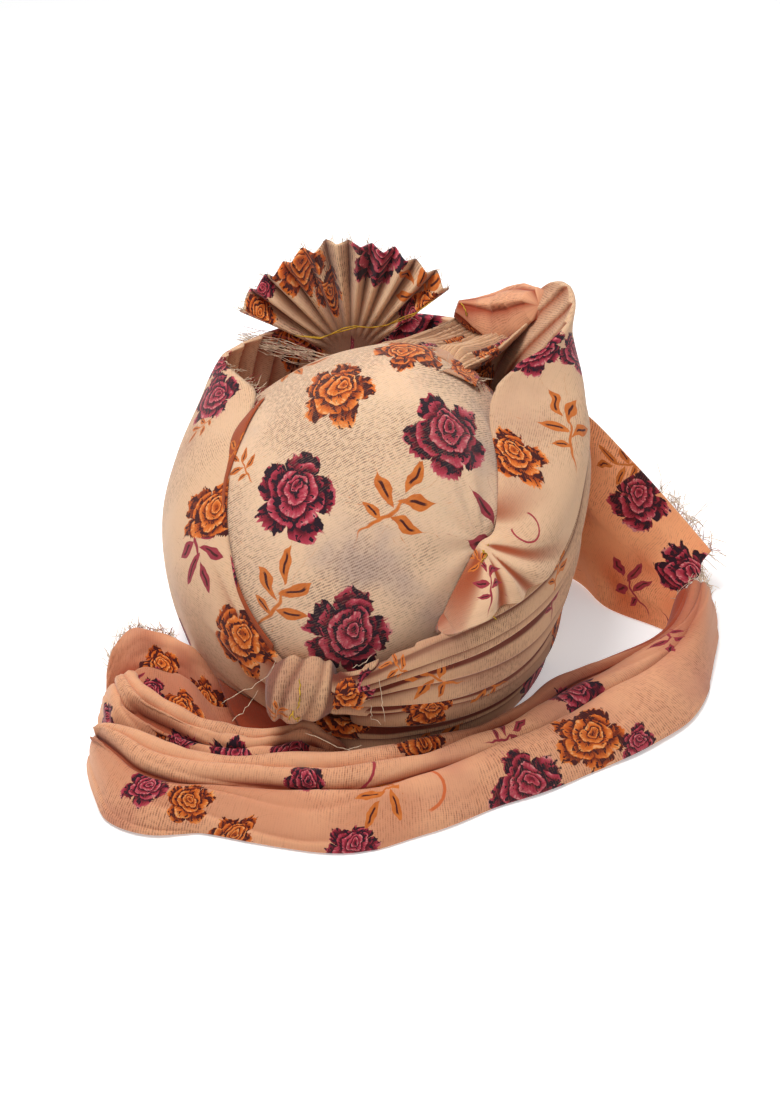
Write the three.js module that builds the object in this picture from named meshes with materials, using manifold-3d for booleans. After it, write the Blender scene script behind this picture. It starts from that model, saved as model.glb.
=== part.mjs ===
// A tied turban of thin printed muslin, standing on its rim with its long tail laid round the front.
// A hollow cap carries wound turns of cloth, a knot at the front, a pleated fan at the back of the top,
// a gathered roll beside the fan, and loose stretches of tail on the surface. Millimetres, +Z up,
// front towards -Y. The origin is the middle of the footprint, on the surface that the rim stands on.
import * as THREE from "three";
import { mergeVertices } from "three/addons/utils/BufferGeometryUtils.js";
import Module from "manifold-3d";

const wasm = await Module();
wasm.setup();

// Head opening and cap
const headWidth = 172;
const headDepth = 196;
const capWall = 3;
const capHeight = 170;
const capBelly = 18;
const capLean = 13;
const capSkew = 8;

// Wound turns
const turnStack = 9;
const peakRise = 10;
const turnEdge = 5;
const turnSink = 1;
const pleatBulge = 2.2;
const seat = 0.4;

// Knot at the front
const knotWidth = 37;
const knotHeight = 40;
const knotDepth = 42;
const tuckBulge = 7;

// Fan and roll on the top
const fanRadius = 70;
const fanStem = 12;
const fanStemDepth = 26;
const fanStemThickness = 9;
const fanCloth = 2.4;
const fanPleats = 11;
const fanPleatDepth = 5;
const rollRadius = 16;

// Tail laid on the surface
const tailCloth = 3;
const tailLoose = 2;
const tailReach = 90;
const tailHeight = 25;
const backTailReach = 80;
const backTailHeight = 108;
const backTailRipple = 3;
const backTailSag = 8;
const shortEndReach = 62;
const shortEndHeight = 35;
const shortEndLean = 14;

// Half sizes worked out from them
const rimHalfWidth = headWidth / 2 + capWall;
const rimHalfDepth = headDepth / 2 + capWall;
const wallSpread = capBelly + turnStack;
const wallHalfWidth = rimHalfWidth + wallSpread;
const wallHalfDepth = rimHalfDepth + wallSpread;
const wallHeight = capHeight + peakRise;

// Form of the crown: powers of its dome and of its lean, where its belly ends and its top is flat, as
// shares of capHeight.
const domeBlunt = 2.8;
const domeRound = 2.2;
const leanCurve = 4;
const bellyTop = 0.95;
const domeFlat = 0.985;
const capLevels = [0, 0.12, 0.28, 0.45, 0.6, 0.72, 0.82, 0.9, 0.96, domeFlat];
const CAP_SIDES = 36;

// Form of the turns: how round their bulge is and how late their edge closes on the cap.
const bulgeCurve = 0.6;
const hugCurve = 2.2;

// Azimuths where the turns begin and end, in degrees: 0 right, 90 back, -90 front.
const KNOT_AZIMUTH = -116;
const TUCK_START = -101;
const TUCK_AZIMUTH = -84;
const BACK_AZIMUTH = 150;
const FAN_AZIMUTH = 103;

// Places of the knot and the fan's stem: azimuth inside the left turn's end, and shares of the heights.
const knotInset = 6;
const knotRise = 0.26;
const stemRise = 0.72;

// The fan's spread in degrees from the right, its lean to the back, and the stem's share of its length.
const FAN_FROM = 36;
const FAN_TO = 157;
const FAN_LEAN = 10;
const stemShare = 0.25;
const gatherEnd = 0.4;
const pleatFull = 0.62;

// Folds and ripples: the roll has three sides to each fold, with the groove on the first.
const KNOT_SIDES = 16;
const FOLD_SIDES = 3;
const rollFolds = 5;
const rollGroove = 0.86;
const ROLL_STEPS = 9;
const backTailRipples = 3;

// The knot's three upright folds: how thick it is across its width, left to right.
const knotRows = [
  { across: -1.0, thick: 0.36 },
  { across: -0.92, thick: 0.66 },
  { across: -0.64, thick: 0.94 },
  { across: -0.36, thick: 0.86 },
  { across: -0.08, thick: 1.0 },
  { across: 0.24, thick: 0.98 },
  { across: 0.42, thick: 0.88 },
  { across: 0.7, thick: 0.92 },
  { across: 0.92, thick: 0.66 },
  { across: 1.0, thick: 0.4 },
];

// How far the outside of the turns stands out, as a share of wallSpread, at shares of wallHeight.
const wallRows = [
  { height: 0.0, reach: 0.42 },
  { height: 0.2, reach: 0.78 },
  { height: 0.42, reach: 1.0 },
  { height: 0.75, reach: 1.0 },
  { height: 1.0, reach: 1.02 },
];

// Edges between the lower turns, as shares of wallHeight.
const lowerRows = [
  { azimuth: -116, edge0: 0.01, edge1: 0.12, edge2: 0.18, edge3: 0.24, edge4: 0.3 },
  { azimuth: -84, edge0: 0.01, edge1: 0.13, edge2: 0.26, edge3: 0.36, edge4: 0.44 },
  { azimuth: -60, edge0: 0.01, edge1: 0.14, edge2: 0.26, edge3: 0.44, edge4: 0.54 },
  { azimuth: -33, edge0: 0.01, edge1: 0.17, edge2: 0.36, edge3: 0.56, edge4: 0.7 },
  { azimuth: 0, edge0: 0.01, edge1: 0.2, edge2: 0.42, edge3: 0.62, edge4: 0.77 },
  { azimuth: 60, edge0: 0.01, edge1: 0.16, edge2: 0.3, edge3: 0.44, edge4: 0.56 },
  { azimuth: 150, edge0: 0.01, edge1: 0.14, edge2: 0.27, edge3: 0.38, edge4: 0.48 },
];

// Upper edge of the right turn: high is a share of wallHeight, and hug is 1 where the edge lies on the cap.
const rightRows = [
  { azimuth: -74, high: 0.5, hug: 1 },
  { azimuth: -66, high: 0.555, hug: 1 },
  { azimuth: -57, high: 0.61, hug: 1 },
  { azimuth: -50, high: 0.66, hug: 1 },
  { azimuth: -40, high: 0.76, hug: 1 },
  { azimuth: -12, high: 0.84, hug: 1 },
  { azimuth: 12, high: 0.92, hug: 0.5 },
  { azimuth: 28, high: 1.0, hug: 0.05 },
  { azimuth: 40, high: 0.96, hug: 0 },
  { azimuth: 52, high: 0.78, hug: 0 },
  { azimuth: 90, high: 0.75, hug: 0 },
  { azimuth: 150, high: 0.8, hug: 0.2 },
];

// Edges of the left turn, read the same way. It runs on from the back to the knot.
const leftRows = [
  { azimuth: 150, low: 0.01, high: 0.8, hug: 0.2 },
  { azimuth: 165, low: 0.01, high: 0.83, hug: 0.7 },
  { azimuth: 183, low: 0.01, high: 0.72, hug: 1 },
  { azimuth: 193, low: 0.01, high: 0.61, hug: 1 },
  { azimuth: 206, low: 0.01, high: 0.49, hug: 1 },
  { azimuth: 217, low: 0.01, high: 0.41, hug: 1 },
  { azimuth: 230, low: 0.01, high: 0.33, hug: 1 },
  { azimuth: 243, low: 0.02, high: 0.26, hug: 1 },
];

// The roll, from its thin end by the fan to the peak: its middle as shares of the wall's half sizes and
// height, and its thickness as a share of rollRadius.
const rollRows = [
  { along: 0.0, right: 0.38, back: 0.77, level: 0.85, thick: 0.28 },
  { along: 0.25, right: 0.48, back: 0.76, level: 0.83, thick: 0.62 },
  { along: 0.6, right: 0.62, back: 0.72, level: 0.83, thick: 1.0 },
  { along: 0.85, right: 0.72, back: 0.64, level: 0.88, thick: 0.95 },
  { along: 1.0, right: 0.77, back: 0.58, level: 0.93, thick: 0.6 },
];

// The loop of tail on the surface: how far its inner and outer edges lie outside the wall, as shares of
// tailReach, and its height as a share of tailHeight.
const loopRows = [
  { azimuth: -143, inner: 0.72, outer: 0.8, high: 1.0 },
  { azimuth: -140, inner: 0.67, outer: 0.86, high: 1.2 },
  { azimuth: -136, inner: 0.6, outer: 0.93, high: 1.25 },
  { azimuth: -131, inner: 0.52, outer: 1.0, high: 1.15 },
  { azimuth: -125, inner: 0.42, outer: 0.94, high: 1.05 },
  { azimuth: -119, inner: 0.34, outer: 0.78, high: 1.0 },
  { azimuth: -110, inner: 0.2, outer: 0.71, high: 1.0 },
  { azimuth: -94, inner: 0.04, outer: 0.68, high: 1.0 },
  { azimuth: -81, inner: -0.05, outer: 0.53, high: 0.95 },
  { azimuth: -68, inner: -0.09, outer: 0.44, high: 0.9 },
  { azimuth: -57, inner: -0.12, outer: 0.455, high: 0.85 },
  { azimuth: -44, inner: -0.12, outer: 0.54, high: 0.85 },
  { azimuth: -34, inner: -0.09, outer: 0.65, high: 0.9 },
  { azimuth: -26, inner: 0.02, outer: 0.76, high: 0.95 },
  { azimuth: -18, inner: 0.18, outer: 0.8, high: 1.05 },
  { azimuth: -9, inner: 0.44, outer: 0.81, high: 1.25 },
  { azimuth: 2, inner: 0.6, outer: 0.85, high: 1.35 },
];

// The stretch that comes back inside the loop to the knot, read the same way.
const returnRows = [
  { azimuth: -154, inner: 0.36, outer: 0.54, high: 0.7 },
  { azimuth: -150, inner: 0.36, outer: 0.61, high: 1.25 },
  { azimuth: -146, inner: 0.38, outer: 0.66, high: 1.45 },
  { azimuth: -138, inner: 0.3, outer: 0.8, high: 1.25 },
  { azimuth: -129, inner: 0.17, outer: 0.8, high: 0.9 },
  { azimuth: -121, inner: 0.04, outer: 0.8, high: 0.75 },
  { azimuth: -112, inner: -0.1, outer: 0.8, high: 0.95 },
  { azimuth: -104, inner: -0.13, outer: 0.8, high: 1.1 },
  { azimuth: -97, inner: -0.12, outer: 0.8, high: 1.05 },
];

// Height of the long pleats across the loop, inner edge first, as a share of its height.
const pleatRows = [
  { across: 0.0, lift: 0.3 },
  { across: 0.1, lift: 0.8 },
  { across: 0.22, lift: 1.0 },
  { across: 0.34, lift: 0.68 },
  { across: 0.46, lift: 0.92 },
  { across: 0.6, lift: 0.48 },
  { across: 0.72, lift: 0.66 },
  { across: 0.84, lift: 0.26 },
  { across: 0.92, lift: 0.34 },
  { across: 1.0, lift: 0.12 },
];

// The back stretch: its upper edge and its edge on the surface, out and side as shares of backTailReach
// from the wall, and top as a share of backTailHeight.
const backTailRows = [
  { along: 0.0, out: -0.27, side: 1.06, top: 1.0, footOut: -0.4, footSide: 0.84 },
  { along: 0.2, out: 0.0, side: 0.82, top: 0.97, footOut: 0.0, footSide: 0.54 },
  { along: 0.5, out: 0.4, side: 0.72, top: 0.68, footOut: 0.2, footSide: 0.2 },
  { along: 0.8, out: 0.75, side: 0.62, top: 0.4, footOut: 0.52, footSide: -0.02 },
  { along: 1.0, out: 0.97, side: 0.45, top: 0.25, footOut: 0.78, footSide: -0.2 },
];

// The short end beside the left turn, arched: out from the wall and forward as shares of shortEndReach,
// and its two edges' heights as shares of shortEndHeight.
const shortEndRows = [
  { along: 0.0, out: -0.6, side: -1.14, low: 0.05, high: 0.4 },
  { along: 0.15, out: -0.42, side: -1.14, low: 0.05, high: 0.52 },
  { along: 0.35, out: -0.22, side: -1.04, low: 0.3, high: 0.78 },
  { along: 0.55, out: 0.0, side: -0.95, low: 0.5, high: 0.86 },
  { along: 0.75, out: 0.26, side: -0.9, low: 0.4, high: 0.95 },
  { along: 0.92, out: 0.47, side: -0.95, low: 0.0, high: 0.66 },
  { along: 1.0, out: 0.54, side: -1.04, low: 0.0, high: 0.26 },
];

const DEGREE = Math.PI / 180;
const mix = (a, b, t) => a + (b - a) * t;
const smooth = (t) => {
  const s = Math.min(1, Math.max(0, t));
  return s * s * (3 - 2 * s);
};

// A column of a table at a key between its rows, eased from row to row.
function read(rows, key, column, at) {
  const last = rows.length - 1;
  const x = Math.min(rows[last][key], Math.max(rows[0][key], at));
  const i = Math.max(1, rows.findIndex((row) => row[key] >= x));
  const [a, b] = [rows[i - 1], rows[i]];
  const before = rows[Math.max(0, i - 2)];
  const after = rows[Math.min(last, i + 1)];
  const span = b[key] - a[key];
  const slopeA = ((b[column] - before[column]) / (b[key] - before[key])) * span;
  const slopeB = ((after[column] - a[column]) / (after[key] - a[key])) * span;
  const t = (x - a[key]) / span;
  const [t2, t3] = [t * t, t * t * t];
  return (
    a[column] * (2 * t3 - 3 * t2 + 1) +
    slopeA * (t3 - 2 * t2 + t) +
    b[column] * (3 * t2 - 2 * t3) +
    slopeB * (t3 - t2)
  );
}

// A point on the ring with those half sizes at a height, leaning with the cap and fuller on the left.
function onRing(azimuth, halfWidth, halfDepth, z) {
  const lean = capLean * (z / capHeight) ** leanCurve;
  const angle = azimuth * DEGREE;
  const side = Math.cos(angle);
  const x = lean + halfWidth * side - capSkew * side * side;
  return new THREE.Vector3(x, halfDepth * Math.sin(angle), z);
}

// A point on the cap's outside, pushed out by a distance.
function onCap(azimuth, z, out = 0) {
  const level = Math.min(z, capHeight * domeFlat);
  const belly = capBelly * Math.sin(Math.PI * Math.min(1, level / capHeight / bellyTop));
  const dome = (1 - (level / capHeight) ** domeBlunt) ** (1 / domeRound);
  const width = (rimHalfWidth + belly) * dome + out;
  const depth = (rimHalfDepth + belly) * dome + out;
  return onRing(azimuth, width, depth, z);
}

// A point on the outside of the wound turns, pushed out by a distance.
function onWall(azimuth, z, out = 0) {
  const reach = wallSpread * read(wallRows, "height", "reach", z / wallHeight);
  return onRing(azimuth, rimHalfWidth + reach + out, rimHalfDepth + reach + out, z);
}

// A closed geometry from vertices and faces, turned so that its faces point out.
function closed(points, faces) {
  let volume = 0;
  for (const [a, b, c] of faces) {
    volume += points[a].dot(points[b].clone().cross(points[c]));
  }
  const order = volume < 0 ? faces.map(([a, b, c]) => [a, c, b]) : faces;
  const geometry = new THREE.BufferGeometry().setFromPoints(points);
  geometry.setIndex(order.flat());
  return geometry;
}

// A slab between two surfaces of u and v, each from 0 to 1, with a strip round its four edges.
function slab(front, back, across, along) {
  const points = [];
  const faces = [];
  const width = across + 1;
  const size = width * (along + 1);
  for (const surface of [front, back]) {
    for (let j = 0; j <= along; j++) {
      for (let i = 0; i <= across; i++) points.push(surface(i / across, j / along));
    }
  }
  const quad = (a, b, c, d) => faces.push([a, b, c], [a, c, d]);
  for (let j = 0; j < along; j++) {
    for (let i = 0; i < across; i++) {
      const a = j * width + i;
      quad(a, a + 1, a + width + 1, a + width);
      quad(size + a, size + a + width, size + a + width + 1, size + a + 1);
    }
    const right = j * width + across;
    quad(j * width, (j + 1) * width, size + (j + 1) * width, size + j * width);
    quad(right, size + right, size + right + width, right + width);
  }
  for (let i = 0; i < across; i++) {
    const end = along * width + i;
    quad(i, size + i, size + i + 1, i + 1);
    quad(end, end + 1, size + end + 1, size + end);
  }
  return closed(points, faces);
}

// A skin over a row of closed rings, shut by a fan of faces at each end.
function loft(rings) {
  const count = rings[0].length;
  const points = rings.flat();
  const faces = [];
  for (let j = 0; j + 1 < rings.length; j++) {
    for (let i = 0; i < count; i++) {
      const a = j * count + i;
      const b = j * count + ((i + 1) % count);
      faces.push([a, b, b + count], [a, b + count, a + count]);
    }
  }
  for (const [j, turned] of [[0, false], [rings.length - 1, true]]) {
    const middle = rings[j].reduce((sum, p) => sum.add(p), new THREE.Vector3()).divideScalar(count);
    points.push(middle);
    for (let i = 0; i < count; i++) {
      const a = j * count + i;
      const b = j * count + ((i + 1) % count);
      faces.push(turned ? [a, b, points.length - 1] : [b, a, points.length - 1]);
    }
  }
  return closed(points, faces);
}

function solidOf(geometry) {
  const bare = geometry.clone();
  bare.deleteAttribute("normal");
  bare.deleteAttribute("uv");
  const merged = mergeVertices(bare, 1e-4);
  const vertProperties = merged.getAttribute("position").array;
  const triVerts = new Uint32Array(merged.index.array);
  return new wasm.Manifold(new wasm.Mesh({ numProp: 3, vertProperties, triVerts }));
}

function geometryOf(solid) {
  const mesh = solid.getMesh();
  const geometry = new THREE.BufferGeometry();
  geometry.setAttribute("position", new THREE.BufferAttribute(mesh.vertProperties, 3));
  geometry.setIndex(new THREE.BufferAttribute(mesh.triVerts, 1));
  return geometry;
}

// A geometry cut back from its neighbours, which are made a seat larger so that a gap is left.
function cutBy(geometry, cutters) {
  let solid = solidOf(geometry);
  for (const cutter of cutters) solid = solid.subtract(solidOf(cutter));
  const whole = solid.decompose().sort((a, b) => b.volume() - a.volume())[0];
  return geometryOf(whole);
}

// The cap: rings from the inside of its top, round the rim, to the outside of its top.
function capRing(share, out, top) {
  const azimuths = Array.from({ length: CAP_SIDES }, (_, i) => (i * 360) / CAP_SIDES);
  return azimuths.map((azimuth) => {
    const point = onCap(azimuth, share * capHeight, out);
    point.z *= top / capHeight;
    return point;
  });
}
function capGeometry() {
  const inside = [...capLevels].reverse().map((s) => capRing(s, -capWall, capHeight - capWall));
  const outside = capLevels.map((s) => capRing(s, 0, capHeight));
  return loft([...inside, ...outside]);
}
function capCutter() {
  const below = capRing(0, seat, capHeight + seat);
  for (const point of below) point.z = -capWall;
  return loft([below, ...capLevels.map((s) => capRing(s, seat, capHeight + seat))]);
}

// A turn from one azimuth to another between edges that are functions of the azimuth.
function turnGeometry({ from, to, low, high, hug = () => 0, bulge = 0, grow = 0, steps, levels }) {
  const spread = grow / wallHalfWidth / DEGREE;
  const place = (u, v) => {
    const azimuth = mix(from - spread, to + spread, v);
    const bottom = low(azimuth) - grow;
    const top = high(azimuth) + grow;
    return { azimuth, top, z: mix(bottom, top, u) };
  };
  const outer = (u, v) => {
    const { azimuth, z } = place(u, v);
    const lift = bulge * Math.sin(Math.PI * u) ** bulgeCurve + grow;
    const wall = onWall(azimuth, z, lift);
    return wall.lerp(onCap(azimuth, z, turnEdge + grow), hug(azimuth) * u ** hugCurve);
  };
  const inner = (u, v) => {
    const { azimuth, top, z } = place(u, v);
    const stand = (1 - hug(azimuth)) * smooth((z / top - 0.5) * 2);
    return onCap(azimuth, z, -turnSink - grow).lerp(onWall(azimuth, z, -turnEdge - grow), stand);
  };
  return slab(outer, inner, levels, steps);
}

const lowerEdge = (k) => (azimuth) => wallHeight * read(lowerRows, "azimuth", "edge" + k, azimuth);
const azimuthGap = seat / wallHalfWidth / DEGREE;

function lowerTurn(k, grow = 0) {
  return turnGeometry({
    from: k === 1 ? KNOT_AZIMUTH : TUCK_AZIMUTH,
    to: BACK_AZIMUTH,
    low: (azimuth) => lowerEdge(k - 1)(azimuth) + (k === 1 ? 0 : seat),
    high: lowerEdge(k),
    bulge: pleatBulge,
    grow,
    steps: 28,
    levels: 4,
  });
}

function rightTurn(grow = 0) {
  return turnGeometry({
    from: rightRows[0].azimuth,
    to: BACK_AZIMUTH,
    low: (azimuth) => lowerEdge(4)(azimuth) + 2 * seat,
    high: (azimuth) => wallHeight * read(rightRows, "azimuth", "high", azimuth),
    hug: (azimuth) => read(rightRows, "azimuth", "hug", azimuth),
    grow,
    steps: 34,
    levels: 7,
  });
}

function leftTurn(grow = 0) {
  const column = (name) => (azimuth) => read(leftRows, "azimuth", name, azimuth);
  return turnGeometry({
    from: BACK_AZIMUTH + azimuthGap,
    to: leftRows[leftRows.length - 1].azimuth,
    low: (azimuth) => wallHeight * column("low")(azimuth),
    high: (azimuth) => wallHeight * column("high")(azimuth),
    hug: column("hug"),
    grow,
    steps: 18,
    levels: 10,
  });
}

// The knot: rings across its width, thinner between its folds.
function knotGeometry(grow = 0) {
  const middle = onWall(KNOT_AZIMUTH + knotInset, knotRise * wallHeight);
  const rings = knotRows.map(({ across, thick }) => {
    const ring = [];
    for (let i = 0; i < KNOT_SIDES; i++) {
      const angle = (i / KNOT_SIDES) * 2 * Math.PI;
      const x = across * (knotWidth / 2 + grow);
      const y = ((knotDepth / 2) * thick + grow) * Math.cos(angle);
      const z = ((knotHeight / 2) * thick + grow) * Math.sin(angle);
      ring.push(new THREE.Vector3(x, y, z).add(middle));
    }
    return ring;
  });
  return loft(rings);
}

// The lobe between the knot and the lower turns, as low as the knot at one end and as the turns at the other.
function tuckGeometry(grow = 0) {
  const share = (azimuth) => smooth((azimuth - TUCK_START) / (TUCK_AZIMUTH - TUCK_START));
  const knotLow = knotRise * wallHeight - knotHeight / 3;
  const knotHigh = knotRise * wallHeight + knotHeight / 3;
  return turnGeometry({
    from: TUCK_START,
    to: TUCK_AZIMUTH - azimuthGap,
    low: (azimuth) => mix(knotLow, lowerEdge(1)(TUCK_AZIMUTH) + seat, share(azimuth)),
    high: (azimuth) => mix(knotHigh, lowerEdge(4)(TUCK_AZIMUTH), share(azimuth)),
    bulge: tuckBulge,
    grow,
    steps: 6,
    levels: 7,
  });
}

// A point of the fan: a stem between the cap and the back of the turns, and rays with pleats above it.
function fanPoint(u, v) {
  const angle = mix(FAN_FROM, FAN_TO, u) * DEGREE;
  const foot = onCap(FAN_AZIMUTH, stemRise * capHeight, fanStemThickness / 2 + seat);
  const opening = Math.max(0, (v - stemShare) / (1 - stemShare));
  const radius = mix(fanStem, fanRadius, opening);
  const rise = Math.min(1, v / stemShare);
  const up = radius * Math.sin(angle) * rise - fanStemDepth * (1 - rise);
  const wave = Math.cos(2 * Math.PI * fanPleats * u) * fanPleatDepth * smooth(opening / pleatFull);
  const back = Math.max(0, up) * Math.sin(FAN_LEAN * DEGREE) + wave;
  const x = foot.x + radius * Math.cos(angle);
  return new THREE.Vector3(x, foot.y + back, foot.z + up * Math.cos(FAN_LEAN * DEGREE));
}

// One face of the fan's cloth, half its thickness off the middle along the normal.
function fanSide(side, grow) {
  const step = 1e-3;
  return (u, v) => {
    const across = fanPoint(u + step, v).sub(fanPoint(u - step, v));
    const along = fanPoint(u, v + step).sub(fanPoint(u, v - step));
    const normal = across.cross(along).normalize();
    const half = mix(fanStemThickness, fanCloth, smooth(v / gatherEnd)) / 2;
    return fanPoint(u, v).addScaledVector(normal, side * (half + grow));
  };
}
function fanGeometry(grow = 0) {
  return slab(fanSide(1, grow), fanSide(-1, grow), fanPleats * 4, 6);
}

// The gathered roll, lying on the top edge of the right turn: grooved rings along a curved middle line.
function rollGeometry(grow = 0) {
  const column = (name, at) => read(rollRows, "along", name, at);
  const middle = (at) => {
    const x = wallHalfWidth * column("right", at);
    const y = wallHalfDepth * column("back", at);
    return new THREE.Vector3(x, y, wallHeight * column("level", at));
  };
  const up = new THREE.Vector3(0, 0, 1);
  const step = 1 / ROLL_STEPS / 10;
  const rings = [];
  for (let j = 0; j <= ROLL_STEPS; j++) {
    const at = j / ROLL_STEPS;
    const run = middle(Math.min(1, at + step)).sub(middle(Math.max(0, at - step)));
    const side = run.clone().cross(up).normalize();
    const rise = side.clone().cross(run).normalize();
    const radius = rollRadius * column("thick", at) + grow;
    const ring = [];
    for (let i = 0; i < rollFolds * FOLD_SIDES; i++) {
      const angle = (i / rollFolds / FOLD_SIDES) * 2 * Math.PI;
      const reach = i % FOLD_SIDES === 0 ? radius * rollGroove : radius;
      const point = middle(at).addScaledVector(side, reach * Math.cos(angle));
      ring.push(point.addScaledVector(rise, reach * Math.sin(angle)));
    }
    rings.push(ring);
  }
  return loft(rings);
}

// A point over the surface, outside the full outline of the turns.
function beside(azimuth, out, z) {
  const angle = azimuth * DEGREE;
  const x = (wallHalfWidth + tailLoose + out) * Math.cos(angle);
  return new THREE.Vector3(x, (wallHalfDepth + tailLoose + out) * Math.sin(angle), z);
}

// A strip of cloth laid round the front, with long pleats along it.
function stripGeometry({ from, to, inner, outer, high, grow = 0, steps, across }) {
  const spread = grow / wallHalfWidth / DEGREE;
  const surface = (drop) => (u, v) => {
    const azimuth = mix(from - spread, to + spread, v);
    const out = mix(inner(azimuth) - grow, outer(azimuth) + grow, u);
    const lift = Math.max(tailCloth, high(azimuth) * read(pleatRows, "across", "lift", u));
    return beside(azimuth, out, lift + grow - drop);
  };
  return slab(surface(0), surface(tailCloth + 2 * grow), across, steps);
}

const loopEdge = (name) => (azimuth) => tailReach * read(loopRows, "azimuth", name, azimuth);
function loopGeometry(grow = 0) {
  return stripGeometry({
    from: loopRows[0].azimuth,
    to: loopRows[loopRows.length - 1].azimuth,
    inner: loopEdge("inner"),
    outer: loopEdge("outer"),
    high: (azimuth) => tailHeight * read(loopRows, "azimuth", "high", azimuth),
    grow,
    steps: 24,
    across: 12,
  });
}

function returnGeometry(grow = 0) {
  const column = (name) => (azimuth) => tailReach * read(returnRows, "azimuth", name, azimuth);
  return stripGeometry({
    from: returnRows[0].azimuth,
    to: returnRows[returnRows.length - 1].azimuth,
    inner: column("inner"),
    outer: (azimuth) => Math.min(column("outer")(azimuth), loopEdge("inner")(azimuth) - seat),
    high: (azimuth) => tailHeight * read(returnRows, "azimuth", "high", azimuth),
    grow,
    steps: 12,
    across: 8,
  });
}

// The back stretch: a sheet with soft ripples from behind the right turn down to the surface.
function backTailGeometry(grow = 0) {
  const column = (name, at) => read(backTailRows, "along", name, at);
  const surface = (side) => (u, v) => {
    const out = backTailReach * mix(column("footOut", v), column("out", v), u);
    const y = backTailReach * mix(column("footSide", v), column("side", v), u);
    const middle = Math.sin(Math.PI * u);
    const ripple = backTailRipple * Math.sin(u * backTailRipples * 2 * Math.PI) - backTailSag * v;
    const half = side * (tailCloth / 2 + grow);
    const z = mix(-grow, backTailHeight * column("top", v) + grow, u);
    return new THREE.Vector3(wallHalfWidth + out + middle * ripple + half, y + half, z);
  };
  return slab(surface(1), surface(-1), 10, 8);
}

// The short end: an arched sheet that leaves the foot of the left turn.
function shortEndGeometry() {
  const column = (name, at) => read(shortEndRows, "along", name, at);
  const surface = (side) => (u, v) => {
    const x = -wallHalfWidth - shortEndReach * column("out", v);
    const y = shortEndReach * column("side", v) + (u - 0.5) * shortEndLean;
    const z = shortEndHeight * mix(column("low", v), column("high", v), u);
    return new THREE.Vector3(x, y + (side * tailCloth) / 2, z + tailCloth / 2);
  };
  return slab(surface(1), surface(-1), 4, 10);
}

const part = new THREE.Group();
function add(name, geometry, colour) {
  const material = new THREE.MeshStandardMaterial({ color: colour, roughness: 0.9, metalness: 0 });
  const mesh = new THREE.Mesh(geometry, material);
  mesh.name = name;
  part.add(mesh);
}

// Each piece is cut back by what it lies on. The cutters are the neighbours, a seat larger all round.
const CREAM = 0xe8cfae;
const PEACH = 0xeebd95;
const capCut = capCutter();
const leftCut = leftTurn(seat);
const rightCut = rightTurn(seat);
const lowerCuts = [1, 2, 3, 4].map((k) => lowerTurn(k, seat));
const bodyCuts = [capCut, leftCut, rightCut, lowerCuts[0]];
const knotCut = knotGeometry(seat);
const tuckCut = tuckGeometry(seat);

add("cap", capGeometry(), CREAM);
add("left_turn", cutBy(leftTurn(), [capCut]), CREAM);
add("right_turn", cutBy(rightTurn(), [capCut]), CREAM);
for (const k of [1, 2, 3, 4]) add("lower_turn_" + k, cutBy(lowerTurn(k), [capCut]), PEACH);
add("knot", cutBy(knotGeometry(), bodyCuts), PEACH);
add("knot_tuck", cutBy(tuckGeometry(), [...bodyCuts, knotCut]), PEACH);
add("fan", cutBy(fanGeometry(), [capCut, leftCut, rightCut]), CREAM);
add("roll", cutBy(rollGeometry(), [capCut, fanGeometry(seat), rightCut]), CREAM);
add("tail_back", cutBy(backTailGeometry(), [rightCut, ...lowerCuts]), PEACH);
add("tail_return", cutBy(returnGeometry(), [...bodyCuts, knotCut, tuckCut]), PEACH);
add("tail_loop", cutBy(loopGeometry(), [leftCut, ...lowerCuts, backTailGeometry(2 * seat)]), PEACH);
add("short_end", cutBy(shortEndGeometry(), [leftCut, returnGeometry(seat)]), PEACH);

// The origin is the middle of the footprint.
const box = new THREE.Box3().setFromObject(part);
const middle = box.getCenter(new THREE.Vector3());
part.position.set(-middle.x, -middle.y, -box.min.z);

export default part;
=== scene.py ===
# %% [markdown]
# # A tied turban of rose-printed muslin
# The turban stands on its rim with its long tail laid round the front. The frame gives the plain solids
# of each piece, and the cells below replace them by modelled cloth with its weave and its print.

# %% Load the frame
import math
import bpy
import numpy as np
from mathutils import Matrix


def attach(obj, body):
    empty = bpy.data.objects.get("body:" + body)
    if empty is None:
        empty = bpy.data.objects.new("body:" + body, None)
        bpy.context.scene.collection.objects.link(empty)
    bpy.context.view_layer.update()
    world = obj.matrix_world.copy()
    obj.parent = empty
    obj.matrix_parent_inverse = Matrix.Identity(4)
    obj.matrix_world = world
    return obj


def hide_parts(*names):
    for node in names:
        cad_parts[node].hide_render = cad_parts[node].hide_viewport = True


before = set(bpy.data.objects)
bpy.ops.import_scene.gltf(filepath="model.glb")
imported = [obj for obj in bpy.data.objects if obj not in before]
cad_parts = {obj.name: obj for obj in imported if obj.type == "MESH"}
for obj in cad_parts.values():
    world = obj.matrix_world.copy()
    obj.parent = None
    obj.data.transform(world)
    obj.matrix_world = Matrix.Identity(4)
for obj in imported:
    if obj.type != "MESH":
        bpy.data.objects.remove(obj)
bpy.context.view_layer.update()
scene = bpy.context.scene

# %% [markdown]
# ## Sizes and tables
# The cloth has to lie where the solids are, so this cell names the same driving sizes, in metres, and the
# same short tables of shares. A table is written as named columns over short rows. Reading it at any key
# gives a smooth curve, so a few rows are enough for a whole edge.

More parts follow.
